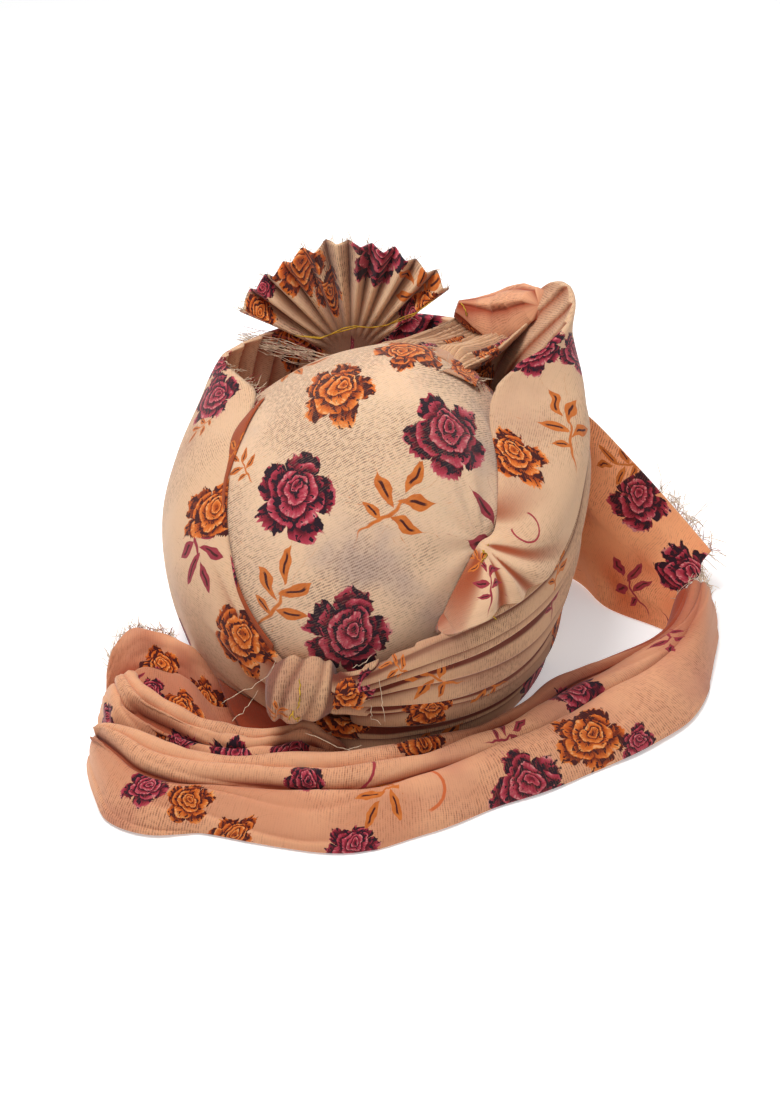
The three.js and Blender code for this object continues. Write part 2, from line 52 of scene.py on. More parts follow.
# %% Driving sizes
RIM_HALF_WIDTH = 0.089
RIM_HALF_DEPTH = 0.101
CROWN_HEIGHT = 0.170
CROWN_BELLY = 0.018
CROWN_WALL = 0.003
CROWN_LEAN = 0.013
CROWN_SKEW = 0.008
TURN_STACK = 0.009
WALL_HEIGHT = 0.180
WALL_SPREAD = CROWN_BELLY + TURN_STACK
TAIL_REACH = 0.090
TAIL_HEIGHT = 0.025
TAIL_LOOSE = 0.002
BACK_REACH = 0.080
BACK_HEIGHT = 0.108
END_REACH = 0.062
END_HEIGHT = 0.035
DOME_BLUNT = 2.8
DOME_ROUND = 2.2
LEAN_CURVE = 4
BELLY_TOP = 0.95
DOME_FLAT = 0.985
MUSLIN = 0.0012


# %% Tables with named columns, and how they are read
def table(columns, rows):
    """Named columns over short rows: one array for each column name."""
    return dict(zip(columns.split(), np.array(rows, float).T))


def read(rows, column, at):
    """A column at a key. Between two rows runs a cubic, and at each row its slope is that of the line from
    the row before to the row after."""
    key = next(iter(rows.values()))
    value = rows[column]
    last = len(key) - 1
    low = np.maximum(np.arange(last + 1) - 1, 0)
    high = np.minimum(np.arange(last + 1) + 1, last)
    slope = (value[high] - value[low]) / (key[high] - key[low])
    x = np.clip(at, key[0], key[last])
    i = np.clip(np.searchsorted(key, x), 1, last)
    span = key[i] - key[i - 1]
    t = (x - key[i - 1]) / span
    start = value[i - 1] * (2 * t**3 - 3 * t**2 + 1) + slope[i - 1] * span * (t**3 - 2 * t**2 + t)
    return start + value[i] * (3 * t**2 - 2 * t**3) + slope[i] * span * (t**3 - t**2)


def mix(a, b, share):
    """a where the share is 0 and b where it is 1."""
    return a + (b - a) * share


def smooth(t):
    """An S curve from 0 to 1: three times the square less twice the cube."""
    s = np.clip(t, 0, 1)
    return s * s * (3 - 2 * s)


WALL = table("height reach", [(0, 0.42), (0.2, 0.78), (0.42, 1.0), (0.75, 1.0), (1.0, 1.02)])
LOWER = table("azimuth edge0 edge1 edge2 edge3 edge4", [
    (-116, 0.01, 0.12, 0.20, 0.26, 0.31),
    (-96, 0.01, 0.14, 0.24, 0.29, 0.345),
    (-84, 0.01, 0.13, 0.24, 0.345, 0.425),
    (-74, 0.01, 0.12, 0.23, 0.375, 0.472),
    (-60, 0.01, 0.11, 0.217, 0.385, 0.505),
    (-46, 0.01, 0.10, 0.21, 0.393, 0.517),
    (-33, 0.01, 0.10, 0.215, 0.40, 0.53),
    (-21, 0.01, 0.11, 0.24, 0.44, 0.575),
    (-9, 0.01, 0.14, 0.31, 0.53, 0.68),
    (6, 0.01, 0.17, 0.37, 0.58, 0.74),
    (60, 0.01, 0.16, 0.30, 0.44, 0.56),
    (150, 0.01, 0.14, 0.27, 0.38, 0.48),
])
RIGHT = table("azimuth high hug", [
    (-74, 0.43, 1), (-68, 0.52, 1), (-61, 0.585, 1), (-54, 0.625, 1), (-46, 0.632, 1), (-38, 0.69, 1),
    (-28, 0.745, 1), (-14, 0.80, 1), (0, 0.875, 0.75), (12, 0.955, 0.3),
    (28, 1.0, 0.05), (41, 0.99, 0), (54, 0.80, 0),
    (90, 0.75, 0), (150, 0.8, 0.2),
])
LEFT = table("azimuth low high hug", [
    (150, 0.01, 0.80, 0.2), (165, 0.01, 0.81, 0.8), (178, 0.01, 0.77, 1), (190, 0.01, 0.735, 1),
    (204, 0.01, 0.67, 1), (214, 0.01, 0.60, 1), (222, 0.01, 0.53, 1), (229, 0.01, 0.45, 1),
    (236, 0.01, 0.37, 1), (243, 0.02, 0.30, 1),
])
print("tables read, for example the peak:", read(RIGHT, "high", np.array([28.0])))

# %% [markdown]
# ## The two base forms
# The crown is a dome over an oval and the wound turns stand round it. Both are functions of an azimuth
# and a height, so every piece that lies on them can be worked out from the same two.

# %% Crown and wall as functions of azimuth and height
rim = np.array([v.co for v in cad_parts["cap"].data.vertices])
rim = rim[rim[:, 2] < 1e-4]
AXIS = (rim.min(0) + rim.max(0)) / 2 * np.array([1, 1, 0]) + np.array([CROWN_SKEW, 0, 0])


def vector(x, y, z):
    """Three arrays of one shape as one array of points."""
    return np.stack(np.broadcast_arrays(x, y, z), -1)


def on_ring(azimuth, half_width, half_depth, z):
    """An oval at a height. It leans to the right towards the top and is fuller on the left."""
    lean = CROWN_LEAN * (np.maximum(z, 0) / CROWN_HEIGHT) ** LEAN_CURVE
    side = np.cos(np.radians(azimuth))
    x = lean + half_width * side - CROWN_SKEW * side**2
    return vector(x, half_depth * np.sin(np.radians(azimuth)), z)


def on_crown(azimuth, z, out=0.0):
    """The crown's outside, pushed out: the rim's oval, widened by a sine belly and drawn in by a blunt
    dome."""
    share = np.clip(z / CROWN_HEIGHT, 0, DOME_FLAT)
    belly = CROWN_BELLY * np.sin(math.pi * np.minimum(1, share / BELLY_TOP))
    dome = (1 - share**DOME_BLUNT) ** (1 / DOME_ROUND)
    width = (RIM_HALF_WIDTH + belly) * dome + out
    return on_ring(azimuth, width, (RIM_HALF_DEPTH + belly) * dome + out, z)


def on_wall(azimuth, z, out=0.0):
    """The outside of the wound turns, pushed out: the rim's oval and the reach at that height."""
    reach = WALL_SPREAD * read(WALL, "reach", z / WALL_HEIGHT) + out
    return on_ring(azimuth, RIM_HALF_WIDTH + reach, RIM_HALF_DEPTH + reach, z)


def beside(azimuth, out, z):
    """A point over the surface that the turban stands on, outside the turns by a distance."""
    width = RIM_HALF_WIDTH + WALL_SPREAD + TAIL_LOOSE + out
    depth = RIM_HALF_DEPTH + WALL_SPREAD + TAIL_LOOSE + out
    return vector(width * np.cos(np.radians(azimuth)), depth * np.sin(np.radians(azimuth)), z)


print("head axis at", AXIS)

# %% [markdown]
# ## The camera
# The photograph looks down on the turban by about 35 degrees from a little over a metre. The camera comes
# early, because the print and the loose threads are placed by where they show in its picture.

# %% Camera at the photograph's angle
PICTURE_WIDTH = 780
PICTURE_HEIGHT = 1108
LOOK_DOWN = math.radians(35)
CAMERA_DISTANCE = 1.1
SENSOR = 36.0
FOCUS_PIXELS = 1958
LOOK_AT = AXIS + np.array([0.006, 0.0, 0.05])
SAME_PIXEL = 4.0
FAR_AWAY = 1e9

backward = np.array([0, -math.cos(LOOK_DOWN), math.sin(LOOK_DOWN)])
upward = np.array([0, math.sin(LOOK_DOWN), math.cos(LOOK_DOWN)])
eye = LOOK_AT + CAMERA_DISTANCE * backward

lens = bpy.data.cameras.new("camera")
lens.sensor_fit = "VERTICAL"
lens.sensor_height = SENSOR
lens.lens = FOCUS_PIXELS / PICTURE_HEIGHT * SENSOR
lens.clip_start = 0.01
camera = bpy.data.objects.new("camera", lens)
camera.location = eye
camera.rotation_euler = (math.pi / 2 - LOOK_DOWN, 0, 0)
scene.collection.objects.link(camera)
scene.camera = camera


def picture(points):
    """Where points show in the 780 by 1108 picture: pixels right and down, and their distance."""
    q = points - eye
    depth = -(q @ backward)
    right = PICTURE_WIDTH / 2 + FOCUS_PIXELS * q[..., 0] / depth
    return np.stack([right, PICTURE_HEIGHT / 2 - FOCUS_PIXELS * (q @ upward) / depth, depth], -1)


def nearest_shown(shown, right, down):
    """The number of the grid point that shows at a pixel. Of all that do, it is the nearest to the camera."""
    gap = np.hypot(shown[..., 0] - right, shown[..., 1] - down)
    near = gap < max(SAME_PIXEL, gap.min() + 1.0)
    return np.where(near, shown[..., 2], FAR_AWAY).argmin()


def sight(right, down):
    """The way from the camera through a pixel, one metre deep."""
    aside = (right - PICTURE_WIDTH / 2) / FOCUS_PIXELS
    high = (PICTURE_HEIGHT / 2 - down) / FOCUS_PIXELS
    return np.array([aside, 0, 0]) + high * upward - backward


def in_air(right, down, depth):
    """The point at a distance from the camera that shows at a pixel."""
    return eye + depth * sight(right, down)


def floor_at(right, down, height=0.001):
    """The point at a height over the surface that shows at a pixel."""
    run = sight(right, down)
    return eye + run * (height - eye[2]) / run[2]


print("lens:", round(lens.lens, 2), "mm")

# %% [markdown]
# ## Cloth as closed shells
# Muslin is a thin closed body: a face, a back, and rounded edges. Most pieces are one grid for the face
# and one for the back, and the two share their outermost vertices. The gap between them falls to nothing
# there along a quarter circle, which gives a round edge without any extra strip of faces.
# Two UV layers go with it. "cloth" measures along the threads in metres, so the weave keeps its scale,
# and "print" holds the place inside the nearest printed flower.

# %% Meshes from grids
PIECES = {}


def rounded(t, share):
    """From 0 at both ends of 0..1 to 1 inside, along a quarter circle over a share of the way."""
    x = np.clip(np.minimum(t, 1 - t) / share, 0, 1)
    return np.sqrt(np.maximum(0, 1 - (1 - x) ** 2))


def patch(index, cloth, turned=False):
    """Faces of a grid of vertex numbers, and their corner UVs. A row that is one vertex gives triangles."""
    corners = np.stack([index[:-1, :-1], index[1:, :-1], index[1:, 1:], index[:-1, 1:]], -1).reshape(-1, 4)
    place = np.stack([cloth[:-1, :-1], cloth[1:, :-1], cloth[1:, 1:], cloth[:-1, 1:]], -2).reshape(-1, 4, 2)
    if turned:
        corners, place = corners[:, ::-1], place[:, ::-1]
    first, last = corners[:, 0] == corners[:, 3], corners[:, 1] == corners[:, 2]
    keep = ~(first | last)
    faces = [corners[keep], corners[first][:, :3], corners[last][:, [0, 1, 3]]]
    return faces, [place[keep], place[first][:, :3], place[last][:, [0, 1, 3]]]


def closed_rings(points):
    """Vertex numbers of rings: the last column is the first one again, and each end row is one vertex."""
    index = np.arange(points[..., 0].size).reshape(points.shape[:2])
    index[:, -1] = index[:, 0]
    index[0] = index[0, 0]
    index[-1] = index[-1, 0]
    return index


def mesh_object(name, points, faces, uvs, painted_shade):
    """A mesh from arrays: vertices, lists of faces with their corner UVs, and a painted shade value for each
    vertex.
    Faces are turned so that the volume inside them is positive."""
    volume = 0
    for f in faces:
        for k in range(1, f.shape[1] - 1):
            volume += np.sum(points[f[:, 0]] * np.cross(points[f[:, k]], points[f[:, k + 1]]))
    if volume < 0:
        faces, uvs = [f[:, ::-1] for f in faces], [w[:, ::-1] for w in uvs]
    sizes = np.concatenate([np.full(len(f), f.shape[1]) for f in faces])
    used, corners = np.unique(np.concatenate([f.ravel() for f in faces]), return_inverse=True)
    mesh = bpy.data.meshes.new(name)
    mesh.vertices.add(len(used))
    mesh.vertices.foreach_set("co", points[used].astype(np.float32).ravel())
    mesh.loops.add(len(corners))
    mesh.loops.foreach_set("vertex_index", corners.astype(np.int32).ravel())
    mesh.polygons.add(len(sizes))
    mesh.polygons.foreach_set("loop_start", (np.cumsum(sizes) - sizes).astype(np.int32))
    mesh.update(calc_edges=True)
    mesh.polygons.foreach_set("use_smooth", np.ones(len(sizes), bool))
    layer = mesh.uv_layers.new(name="cloth")
    layer.data.foreach_set("uv", np.concatenate([w.reshape(-1, 2) for w in uvs]).astype(np.float32).ravel())
    # Painted shade for each vertex, from 0 for none to 1 for the full deep colour.
    shade = mesh.attributes.new("painted_shade", "FLOAT", "POINT")
    shade.data.foreach_set("value", np.ravel(painted_shade)[used].astype(np.float32))
    piece = bpy.data.objects.new(name, mesh)
    scene.collection.objects.link(piece)
    return piece


def along_threads(grid):
    """Lengths along the cloth at each grid point: down each column, and along the middle row."""
    down = np.linalg.norm(np.diff(grid, axis=0), axis=-1)
    down = np.vstack([np.zeros(grid.shape[1]), np.cumsum(down, axis=0)])
    row = grid[grid.shape[0] // 2]
    across = np.concatenate([[0], np.cumsum(np.linalg.norm(np.diff(row, axis=0), axis=-1))])
    return np.stack(np.broadcast_arrays(across[None, :], down), -1)


def shell(name, face, back, painted_shade, inside=0.0):
    """A closed shell from two grids of points that meet at their edges. Its painted shade value is deeper on
    the back by the last number or array."""
    rows, columns = face.shape[:2]
    cloth = along_threads(face)
    front = np.arange(rows * columns).reshape(rows, columns)
    behind = front + rows * columns
    behind[:, [0, -1]] = front[:, [0, -1]]
    behind[[0, -1], :] = front[[0, -1], :]
    faces, uvs = patch(front, cloth)
    more_faces, more_uvs = patch(behind, cloth, turned=True)
    points = np.concatenate([face.reshape(-1, 3), back.reshape(-1, 3)]) + AXIS
    piece = mesh_object(name, points, faces + more_faces, uvs + more_uvs, np.stack([painted_shade, painted_shade + inside]))
    PIECES[name] = {"face": face + AXIS, "cloth": cloth}
    print(name, "faces:", len(piece.data.polygons))
    return piece


def grid(rows, columns):
    """Two parameters from 0 to 1: u down the rows and v along the columns."""
    return np.meshgrid(np.linspace(0, 1, rows), np.linspace(0, 1, columns), indexing="ij")


def normals(points):
    """Unit normals of a grid of points, from the cross product of its two directions."""
    n = np.cross(np.gradient(points, axis=1), np.gradient(points, axis=0))
    return n / np.maximum(np.linalg.norm(n, axis=-1, keepdims=True), 1e-12)


def off_the_floor(points):
    """Lifts what would sink into the surface, so that the cloth's underside stays just over it."""
    points[..., 2] = np.maximum(points[..., 2], MUSLIN * 0.75)


def sheet_shell(name, points, painted_shade, edge=0.02):
    """A sheet from its middle surface: half its thickness off along the normal, to a round edge."""
    u, v = grid(*points.shape[:2])
    half = normals(points) * (MUSLIN / 2 * rounded(u, edge) * rounded(v, edge))[..., None]
    return shell(name, points + half, points - half, painted_shade)


# %% [markdown]
# ## Folds and wrinkles
# Pulled cloth folds over itself: each pleat rises to a round nose and drops steeply where the next one
# lies under it. Between the pleats small wrinkles run at random. Both are plain functions on the grid.


# %% Pleats and wrinkles
NOSE = 0.16
WAVES = 9
LEAST_WAVE = [[0], [0], [0.6]]
MOST_WAVE = [[6.28], [6.28], [1.7]]


def pleats(x):
    """One pleat for each whole step of x: a slow fall from 1 to 0, then a steep rise over the nose."""
    f = x - np.floor(x)
    fall = 1 - f / (1 - NOSE)
    return np.where(f < 1 - NOSE, np.maximum(fall, 0) ** 0.8, smooth((f - 1 + NOSE) / NOSE))


def wrinkle(x, y, seed):
    """Random soft relief, mostly between -1 and 1: a sum of sine waves with seeded directions, phases and
    paces."""
    random = np.random.default_rng(seed)
    total = 0
    for angle, phase, pace in zip(*random.uniform(LEAST_WAVE, MOST_WAVE, (3, WAVES))):
        total = total + np.sin(pace * (x * math.cos(angle) + y * math.sin(angle)) + phase)
    return total / math.sqrt(WAVES) / 1.4


# %% [markdown]
# ## Shader arithmetic
# A flower in a shader is a formula. The small class below lets it be written as one: each sum or product
# of two wires adds a Math node and gives the wire that leaves it.


# %% Wires between shader nodes
class Wire:
    """A number running between shader nodes. Arithmetic on it adds Math nodes to its tree."""

    def __init__(self, tree, socket):
        self.tree = tree
        self.socket = socket

    def math(self, kind, *others):
        """Adds a Math node of a kind, fed by this wire and the others."""
        node = self.tree.nodes.new("ShaderNodeMath")
        node.operation = kind
        for slot, value in zip(node.inputs, (self, *others)):
            plug(self.tree, slot, value)
        return Wire(self.tree, node.outputs[0])

    def __add__(self, other):
        return self.math("ADD", other)

    def __sub__(self, other):
        return self.math("SUBTRACT", other)

    def __mul__(self, other):
        return self.math("MULTIPLY", other)

    def __truediv__(self, other):
        return self.math("DIVIDE", other)

    def __pow__(self, other):
        return self.math("POWER", other)

    def __abs__(self):
        return self.math("ABSOLUTE")

    def inverse(self):
        """One less this number."""
        return self * -1 + 1

    def ramp(self, low, high):
        """From 0 at low to 1 at high, on an S curve. High may be less than low."""
        node = self.tree.nodes.new("ShaderNodeMapRange")
        node.interpolation_type = "SMOOTHSTEP"
        for slot, value in zip(node.inputs, (self, low, high)):
            plug(self.tree, slot, value)
        return Wire(self.tree, node.outputs[0])


def plug(tree, slot, value):
    """Links a wire or a socket to an input, or sets the input to a number."""
    if isinstance(value, Wire):
        tree.links.new(value.socket, slot)
    elif isinstance(value, bpy.types.NodeSocket):
        tree.links.new(value, slot)
    else:
        slot.default_value = value


def set_inputs(node, values):
    """Sets the named inputs of a node to fixed values."""
    for label, value in values.items():
        node.inputs[label].default_value = value


def noise(tree, x, y, z, scale=1.0, detail=2.0):
    """Noise from 0 to 1 at a point given by three wires or numbers."""
    place = tree.nodes.new("ShaderNodeCombineXYZ")
    for slot, value in zip(place.inputs, (x, y, z)):
        plug(tree, slot, value)
    node = tree.nodes.new("ShaderNodeTexNoise")
    set_inputs(node, {"Scale": scale, "Detail": detail})
    tree.links.new(place.outputs[0], node.inputs["Vector"])
    return Wire(tree, node.outputs[0])


def object_noise(tree, scale, detail):
    """Noise from 0 to 1 that is fixed to a piece by its Object coordinates."""
    place = tree.nodes.new("ShaderNodeTexCoord")
    node = tree.nodes.new("ShaderNodeTexNoise")
    set_inputs(node, {"Scale": scale, "Detail": detail})
    tree.links.new(place.outputs["Object"], node.inputs["Vector"])
    return Wire(tree, node.outputs[0])


def blend(tree, share, below, above):
    """A colour between two, by a share from 0 to 1."""
    node = tree.nodes.new("ShaderNodeMix")
    node.data_type = "RGBA"
    for slot, value in zip((node.inputs[0], node.inputs[6], node.inputs[7]), (share, below, above)):
        plug(tree, slot, value)
    return node.outputs[2]


def dye(red, green, blue):
    """A colour as the eye sees it, turned into the light values that shaders use."""
    seen = np.array([red, green, blue])
    light = np.where(seen <= 0.04045, seen / 12.92, ((seen + 0.055) / 1.055) ** 2.4)
    return (*light.tolist(), 1.0)


def colours(tree, share, stops):
    """A row of dyes, each with its place from 0 to 1."""
    node = tree.nodes.new("ShaderNodeValToRGB")
    elements = node.color_ramp.elements
    while len(elements) < len(stops):
        elements.new(0.5)
    for element, (place, colour) in zip(elements, stops):
        element.position = place
        element.color = colour
    tree.links.new(share.socket, node.inputs[0])
    return node.outputs[0]


def new_group(name, inputs, outputs):
    """A shader node group with named inputs and outputs. Gives its tree and its two ends."""
    tree = bpy.data.node_groups.new(name, "ShaderNodeTree")
    for label, kind in inputs.items():
        tree.interface.new_socket(label, in_out="INPUT", socket_type="NodeSocket" + kind)
    for label, kind in outputs.items():
        tree.interface.new_socket(label, in_out="OUTPUT", socket_type="NodeSocket" + kind)
    return tree, tree.nodes.new("NodeGroupInput").outputs, tree.nodes.new("NodeGroupOutput").inputs


def use_group(tree, group, values):
    """A node that places a group in a tree, with values or wires on its named inputs."""
    node = tree.nodes.new("ShaderNodeGroup")
    node.node_tree = group
    for label, value in values.items():
        plug(tree, node.inputs[label], value)
    return node


def new_material(name):
    """A material that uses nodes: itself, its tree and its surface shader."""
    material = bpy.data.materials.new(name)
    material.use_nodes = True
    return material, material.node_tree, material.node_tree.nodes["Principled BSDF"]


# %% [markdown]
# ## The printed flowers
# The print is a common one: loose roses in wine and orange with dark brush strokes, and sprigs of pointed
# leaves. The rose here is five rings of petals. Each ring's edge is a circle with inward cusps, and the
# shade runs from dark beside the ring inside it to pale at its own edge. Noise bends the rings and draws
# the strokes, so no two roses are alike.

# %% A rose as rings of petals
PETAL_RINGS = table("radius petals turn cut", [
    (0.98, 5, 2.1, 0.42), (0.72, 4, 0.4, 0.26), (0.50, 3, 1.5, 0.24), (0.31, 3, 0.2, 0.22),
    (0.15, 2, 0.9, 0.2),
])
HEART_RIGHT, HEART_UP = 0.14, 0.20


def rose_group():
    """In: place across and up, from -1 to 1, and a seed. Out: where it prints, its shade, its dark strokes.
    A ring's way is the distance from its own middle over its edge at that angle, so it is 1 at the edge."""
    tree, inside, out = new_group(
        "rose", {"Across": "Float", "Up": "Float", "Seed": "Float"},
        {"Mask": "Float", "Shade": "Float", "Ink": "Float"})
    x, y, seed = (Wire(tree, inside[k]) for k in ("Across", "Up", "Seed"))
    x2 = x + (noise(tree, x * 1.6 + 9, y * 1.6, seed * 5.1) - 0.5) * 0.45
    y2 = y + (noise(tree, x * 1.6, y * 1.6, seed * 7.3) - 0.5) * 0.45
    shade = mask = strokes = None
    rough = noise(tree, x * 10, y * 10, seed, detail=3) - 0.5
    for radius, petals, turn, cut in zip(*PETAL_RINGS.values()):
        dx, dy = x2 - HEART_RIGHT * (1 - radius), y2 - HEART_UP * (1 - radius)
        r = (dx * dx + dy * dy).math("SQRT")
        angle = dy.math("ARCTAN2", dx)
        cusp = abs((angle * (petals / 2) + seed * 2.2 + turn).math("SINE")) ** 0.5
        edge = (cusp * cut + (1 - cut)) * radius
        if strokes is None:
            strokes = noise(tree, dx / (r + 0.08) * 3.4, dy / (r + 0.08) * 3.4, r * 2.2 + seed, 2.4, 3) - 0.5
            way = r / (edge * (strokes * 0.5 + 1) + rough * 0.1)
            mask = way.ramp(1.02, 0.97)
            outer = way
            shade = way.ramp(0.3, 1.1) * 0.75 + 0.25
        else:
            way = r / (edge + rough * 0.07)
            within = way.ramp(1.04, 0.97)
            petal_shade = way.ramp(0.2, 1.1) * 0.8 + 0.2
            shade = shade * way.ramp(0.95, 1.55) * within.inverse() + petal_shade * within
    plug(tree, out["Mask"], mask)
    plug(tree, out["Shade"], (shade + strokes * 1.1 + rough * 0.7).math("MAXIMUM", 0))
    marks = noise(tree, x2 * 7 + y2 * 3, y2 * 3 - x2 * 1.5, seed * 2.9, detail=2) - 0.5
    dark = strokes * 1.6 + marks * 1.3 + rough * 0.9 + shade.inverse() * 0.45 + (outer - 0.6) * 0.12
    plug(tree, out["Ink"], dark.ramp(0.33, 0.39))
    return tree


# %% [markdown]
# A leaf is a lens with a dark slit along its middle. A sprig is a short table of leaves, and a stem is
# only a very thin leaf.

# %% A sprig of leaves
SPRIG = table("across up angle length width slit", [
    (-0.22, -1.25, 74, 1.55, 0.03, 0),
    (0.03, 0.10, 100, 0.80, 0.17, 1),
    (0.04, -0.12, 38, 0.78, 0.19, 1),
    (0.00, -0.28, 150, 0.80, 0.18, 1),
    (0.04, -0.45, 12, 0.72, 0.19, 1),
    (0.00, -0.62, 168, 0.56, 0.17, 1),
])


def leaf(x, y, across, up, angle, length, width):
    """How far inside a leaf a point lies, and how far along it: the leaf's half width is a sine of the way
    from its stalk to its tip."""
    dx, dy = x - across, y - up
    c, s = math.cos(math.radians(angle)) / length, math.sin(math.radians(angle)) / length
    way = (dx * c + dy * s).math("MAXIMUM", 0).math("MINIMUM", 1)
    aside = abs(dy * c - dx * s)
    return (way * math.pi).math("SINE") * width - aside, way, aside


def sprig_group():
    """In: place across and up, from -1 to 1, and a seed. Out: where it prints, and its dark slits."""
    tree, inside, out = new_group(
        "sprig", {"Across": "Float", "Up": "Float", "Seed": "Float"}, {"Mask": "Float", "Slit": "Float"})
    x, y, seed = (Wire(tree, inside[k]) for k in ("Across", "Up", "Seed"))
    x = x + (noise(tree, y * 1.3, seed * 3.7, 0) - 0.5) * 0.7
    y = y + (noise(tree, x * 1.3, seed * 3.7, 5) - 0.5) * 0.5
    rough = (noise(tree, x * 8, y * 8, seed) - 0.5) * 0.05
    mask = slit = None
    for across, up, angle, length, width, has_slit in zip(*SPRIG.values()):
        depth, way, aside = leaf(x, y, across, up, angle, length, width)
        body = (depth + rough * min(1, width * 6)).ramp(-0.008, 0.012)
        mask = body if mask is None else mask.math("MAXIMUM", body)
        if has_slit:
            core = (aside * -1 + 0.035).ramp(-0.01, 0.012) * way.ramp(0.22, 0.3) * way.ramp(0.82, 0.7)
            slit = core if slit is None else slit.math("MAXIMUM", core)
    plug(tree, out["Mask"], mask)
    plug(tree, out["Slit"], slit)
    return tree


# %% The whole print in one group
CELL = 4.0
WINE_ROSE, ORANGE_ROSE, ORANGE_SPRIG, WINE_SPRIG, WINE_TENDRIL, ORANGE_TENDRIL = range(1, 7)


def print_group(rose, sprig):
    """In: the print UV, whose whole cells name the kind and the seed. Out: the dye and where it prints."""
    tree, inside, out = new_group("rose print", {"Place": "Vector"}, {"Dye": "Color", "Mask": "Float"})
    split = tree.nodes.new("ShaderNodeSeparateXYZ")
    tree.links.new(inside["Place"], split.inputs[0])
    u, v = Wire(tree, split.outputs[0]), Wire(tree, split.outputs[1])
    kind, seed = (u / CELL).math("ROUND"), (v / CELL).math("ROUND")
    x, y = u - kind * CELL, v - seed * CELL
    flower, leaves = (
        {o.name: Wire(tree, o) for o in use_group(tree, group, {"Across": x, "Up": y, "Seed": seed}).outputs}
        for group in (rose, sprig))
    wine = colours(tree, flower["Shade"], [
        (0.0, dye(0.26, 0.05, 0.10)), (0.3, dye(0.50, 0.11, 0.17)), (0.7, dye(0.66, 0.20, 0.27)),
        (0.95, dye(0.72, 0.32, 0.36)), (1.0, dye(0.80, 0.50, 0.49))])
    orange = colours(tree, flower["Shade"], [
        (0.0, dye(0.42, 0.14, 0.05)), (0.3, dye(0.68, 0.29, 0.08)), (0.7, dye(0.82, 0.41, 0.14)),
        (0.95, dye(0.86, 0.50, 0.24)), (1.0, dye(0.90, 0.63, 0.40))])
    is_wine = abs(kind - 1).ramp(0.6, 0.4)
    wine_leaf = abs(kind - 4.5).ramp(1.1, 0.9)
    ink = blend(tree, is_wine, dye(0.26, 0.08, 0.07), dye(0.14, 0.06, 0.11))
    petals = blend(tree, flower["Ink"], blend(tree, is_wine, orange, wine), ink)
    fleck = noise(tree, x * 6, y * 6, seed, detail=3)
    orange_leaf = blend(tree, fleck, dye(0.66, 0.30, 0.10), dye(0.86, 0.50, 0.22))
    red_leaf = blend(tree, fleck, dye(0.48, 0.11, 0.17), dye(0.66, 0.24, 0.28))
    foliage = blend(tree, wine_leaf, orange_leaf, red_leaf)
    foliage = blend(tree, leaves["Slit"], foliage, dye(0.26, 0.10, 0.09))
    r = (x * x + y * y).math("SQRT")
    curl = abs(r + (fleck - 0.5) * 0.05 - 0.74).ramp(0.06, 0.035) * (y + x * 0.6).ramp(-0.5, -0.35)
    is_rose = kind.ramp(2.6, 2.4)
    is_curl = kind.ramp(4.4, 4.6)
    some = kind.ramp(0.4, 0.6)
    is_sprig = is_rose.inverse() * is_curl.inverse()
    mask = flower["Mask"] * is_rose + leaves["Mask"] * is_sprig + curl * is_curl
    curl_dye = blend(tree, kind.ramp(5.4, 5.6), dye(0.62, 0.20, 0.24), dye(0.80, 0.40, 0.22))
    plug(tree, out["Dye"], blend(tree, is_rose, blend(tree, is_curl, foliage, curl_dye), petals))
    plug(tree, out["Mask"], mask * some)
    return tree


PRINT = print_group(rose_group(), sprig_group())
print("print nodes:", len(PRINT.nodes))

# %% [markdown]
# ## The weave
# Cheap muslin is open and uneven. Its threads bunch into ribs a little over a millimetre apart, which
# show strongly in some patches and fade in others. Some threads are thicker than the rest. The group
# gives a tone to darken the dye with and a height for the bump.


# %% Weave group
def weave_group():
    """In: the cloth UV in metres, and the spacing, direction and strength of the ribs. Out: a tone and a
    height."""
    tree, inside, out = new_group(
        "open weave", {"Place": "Vector", "Spacing": "Float", "Slope": "Float", "Strength": "Float"},
        {"Tone": "Float", "Height": "Float"})
    split = tree.nodes.new("ShaderNodeSeparateXYZ")
    tree.links.new(inside["Place"], split.inputs[0])
    u, v = Wire(tree, split.outputs[0]), Wire(tree, split.outputs[1])
    spacing, slope, strength = (Wire(tree, inside[k]) for k in ("Spacing", "Slope", "Strength"))
    c, s = slope.math("COSINE"), slope.math("SINE")
    along, across = u * c + v * s, v * c - u * s
    drift = (noise(tree, u * 22, v * 22, 0) - 0.5) * 0.0055
    drift = drift + (noise(tree, u * 170, v * 170, 6) - 0.5) * 0.0011
    wave = ((across + drift) / spacing * (2 * math.pi)).math("SINE")
    rib = (wave * 0.5 + 0.5) ** 1.6
    jitter = noise(tree, along * 260, across * 1500, 3, detail=1)
    broken = noise(tree, along * 420, across * 420, 8, detail=2)
    cross = ((along + drift) / spacing * (2 * math.pi * 1.27)).math("SINE") * 0.5 + 0.5
    slub = noise(tree, along * 30, across * 1100, 1, detail=2).ramp(0.62, 0.75)
    warp_slub = noise(tree, along * 1100, across * 30, 2, detail=2).ramp(0.64, 0.76)
    patch = noise(tree, u * 14, v * 14, 4, detail=2)
    show = patch.ramp(0.36, 0.62) * 0.75 + 0.25
    lines = rib.inverse().ramp(0.25, 1.0) * (broken.ramp(0.3, 0.72) * 1.25 + 0.25) * show * strength
    tone = lines + cross * show * 0.4 * strength + slub * 0.2 + warp_slub * 0.2 + (jitter - 0.5) * 0.3
    plug(tree, out["Tone"], tone)
    plug(tree, out["Height"], rib + cross * 0.4 + jitter * 0.4 + slub * 0.5)
    return tree


WEAVE = weave_group()
print("weave nodes:", len(WEAVE.nodes))
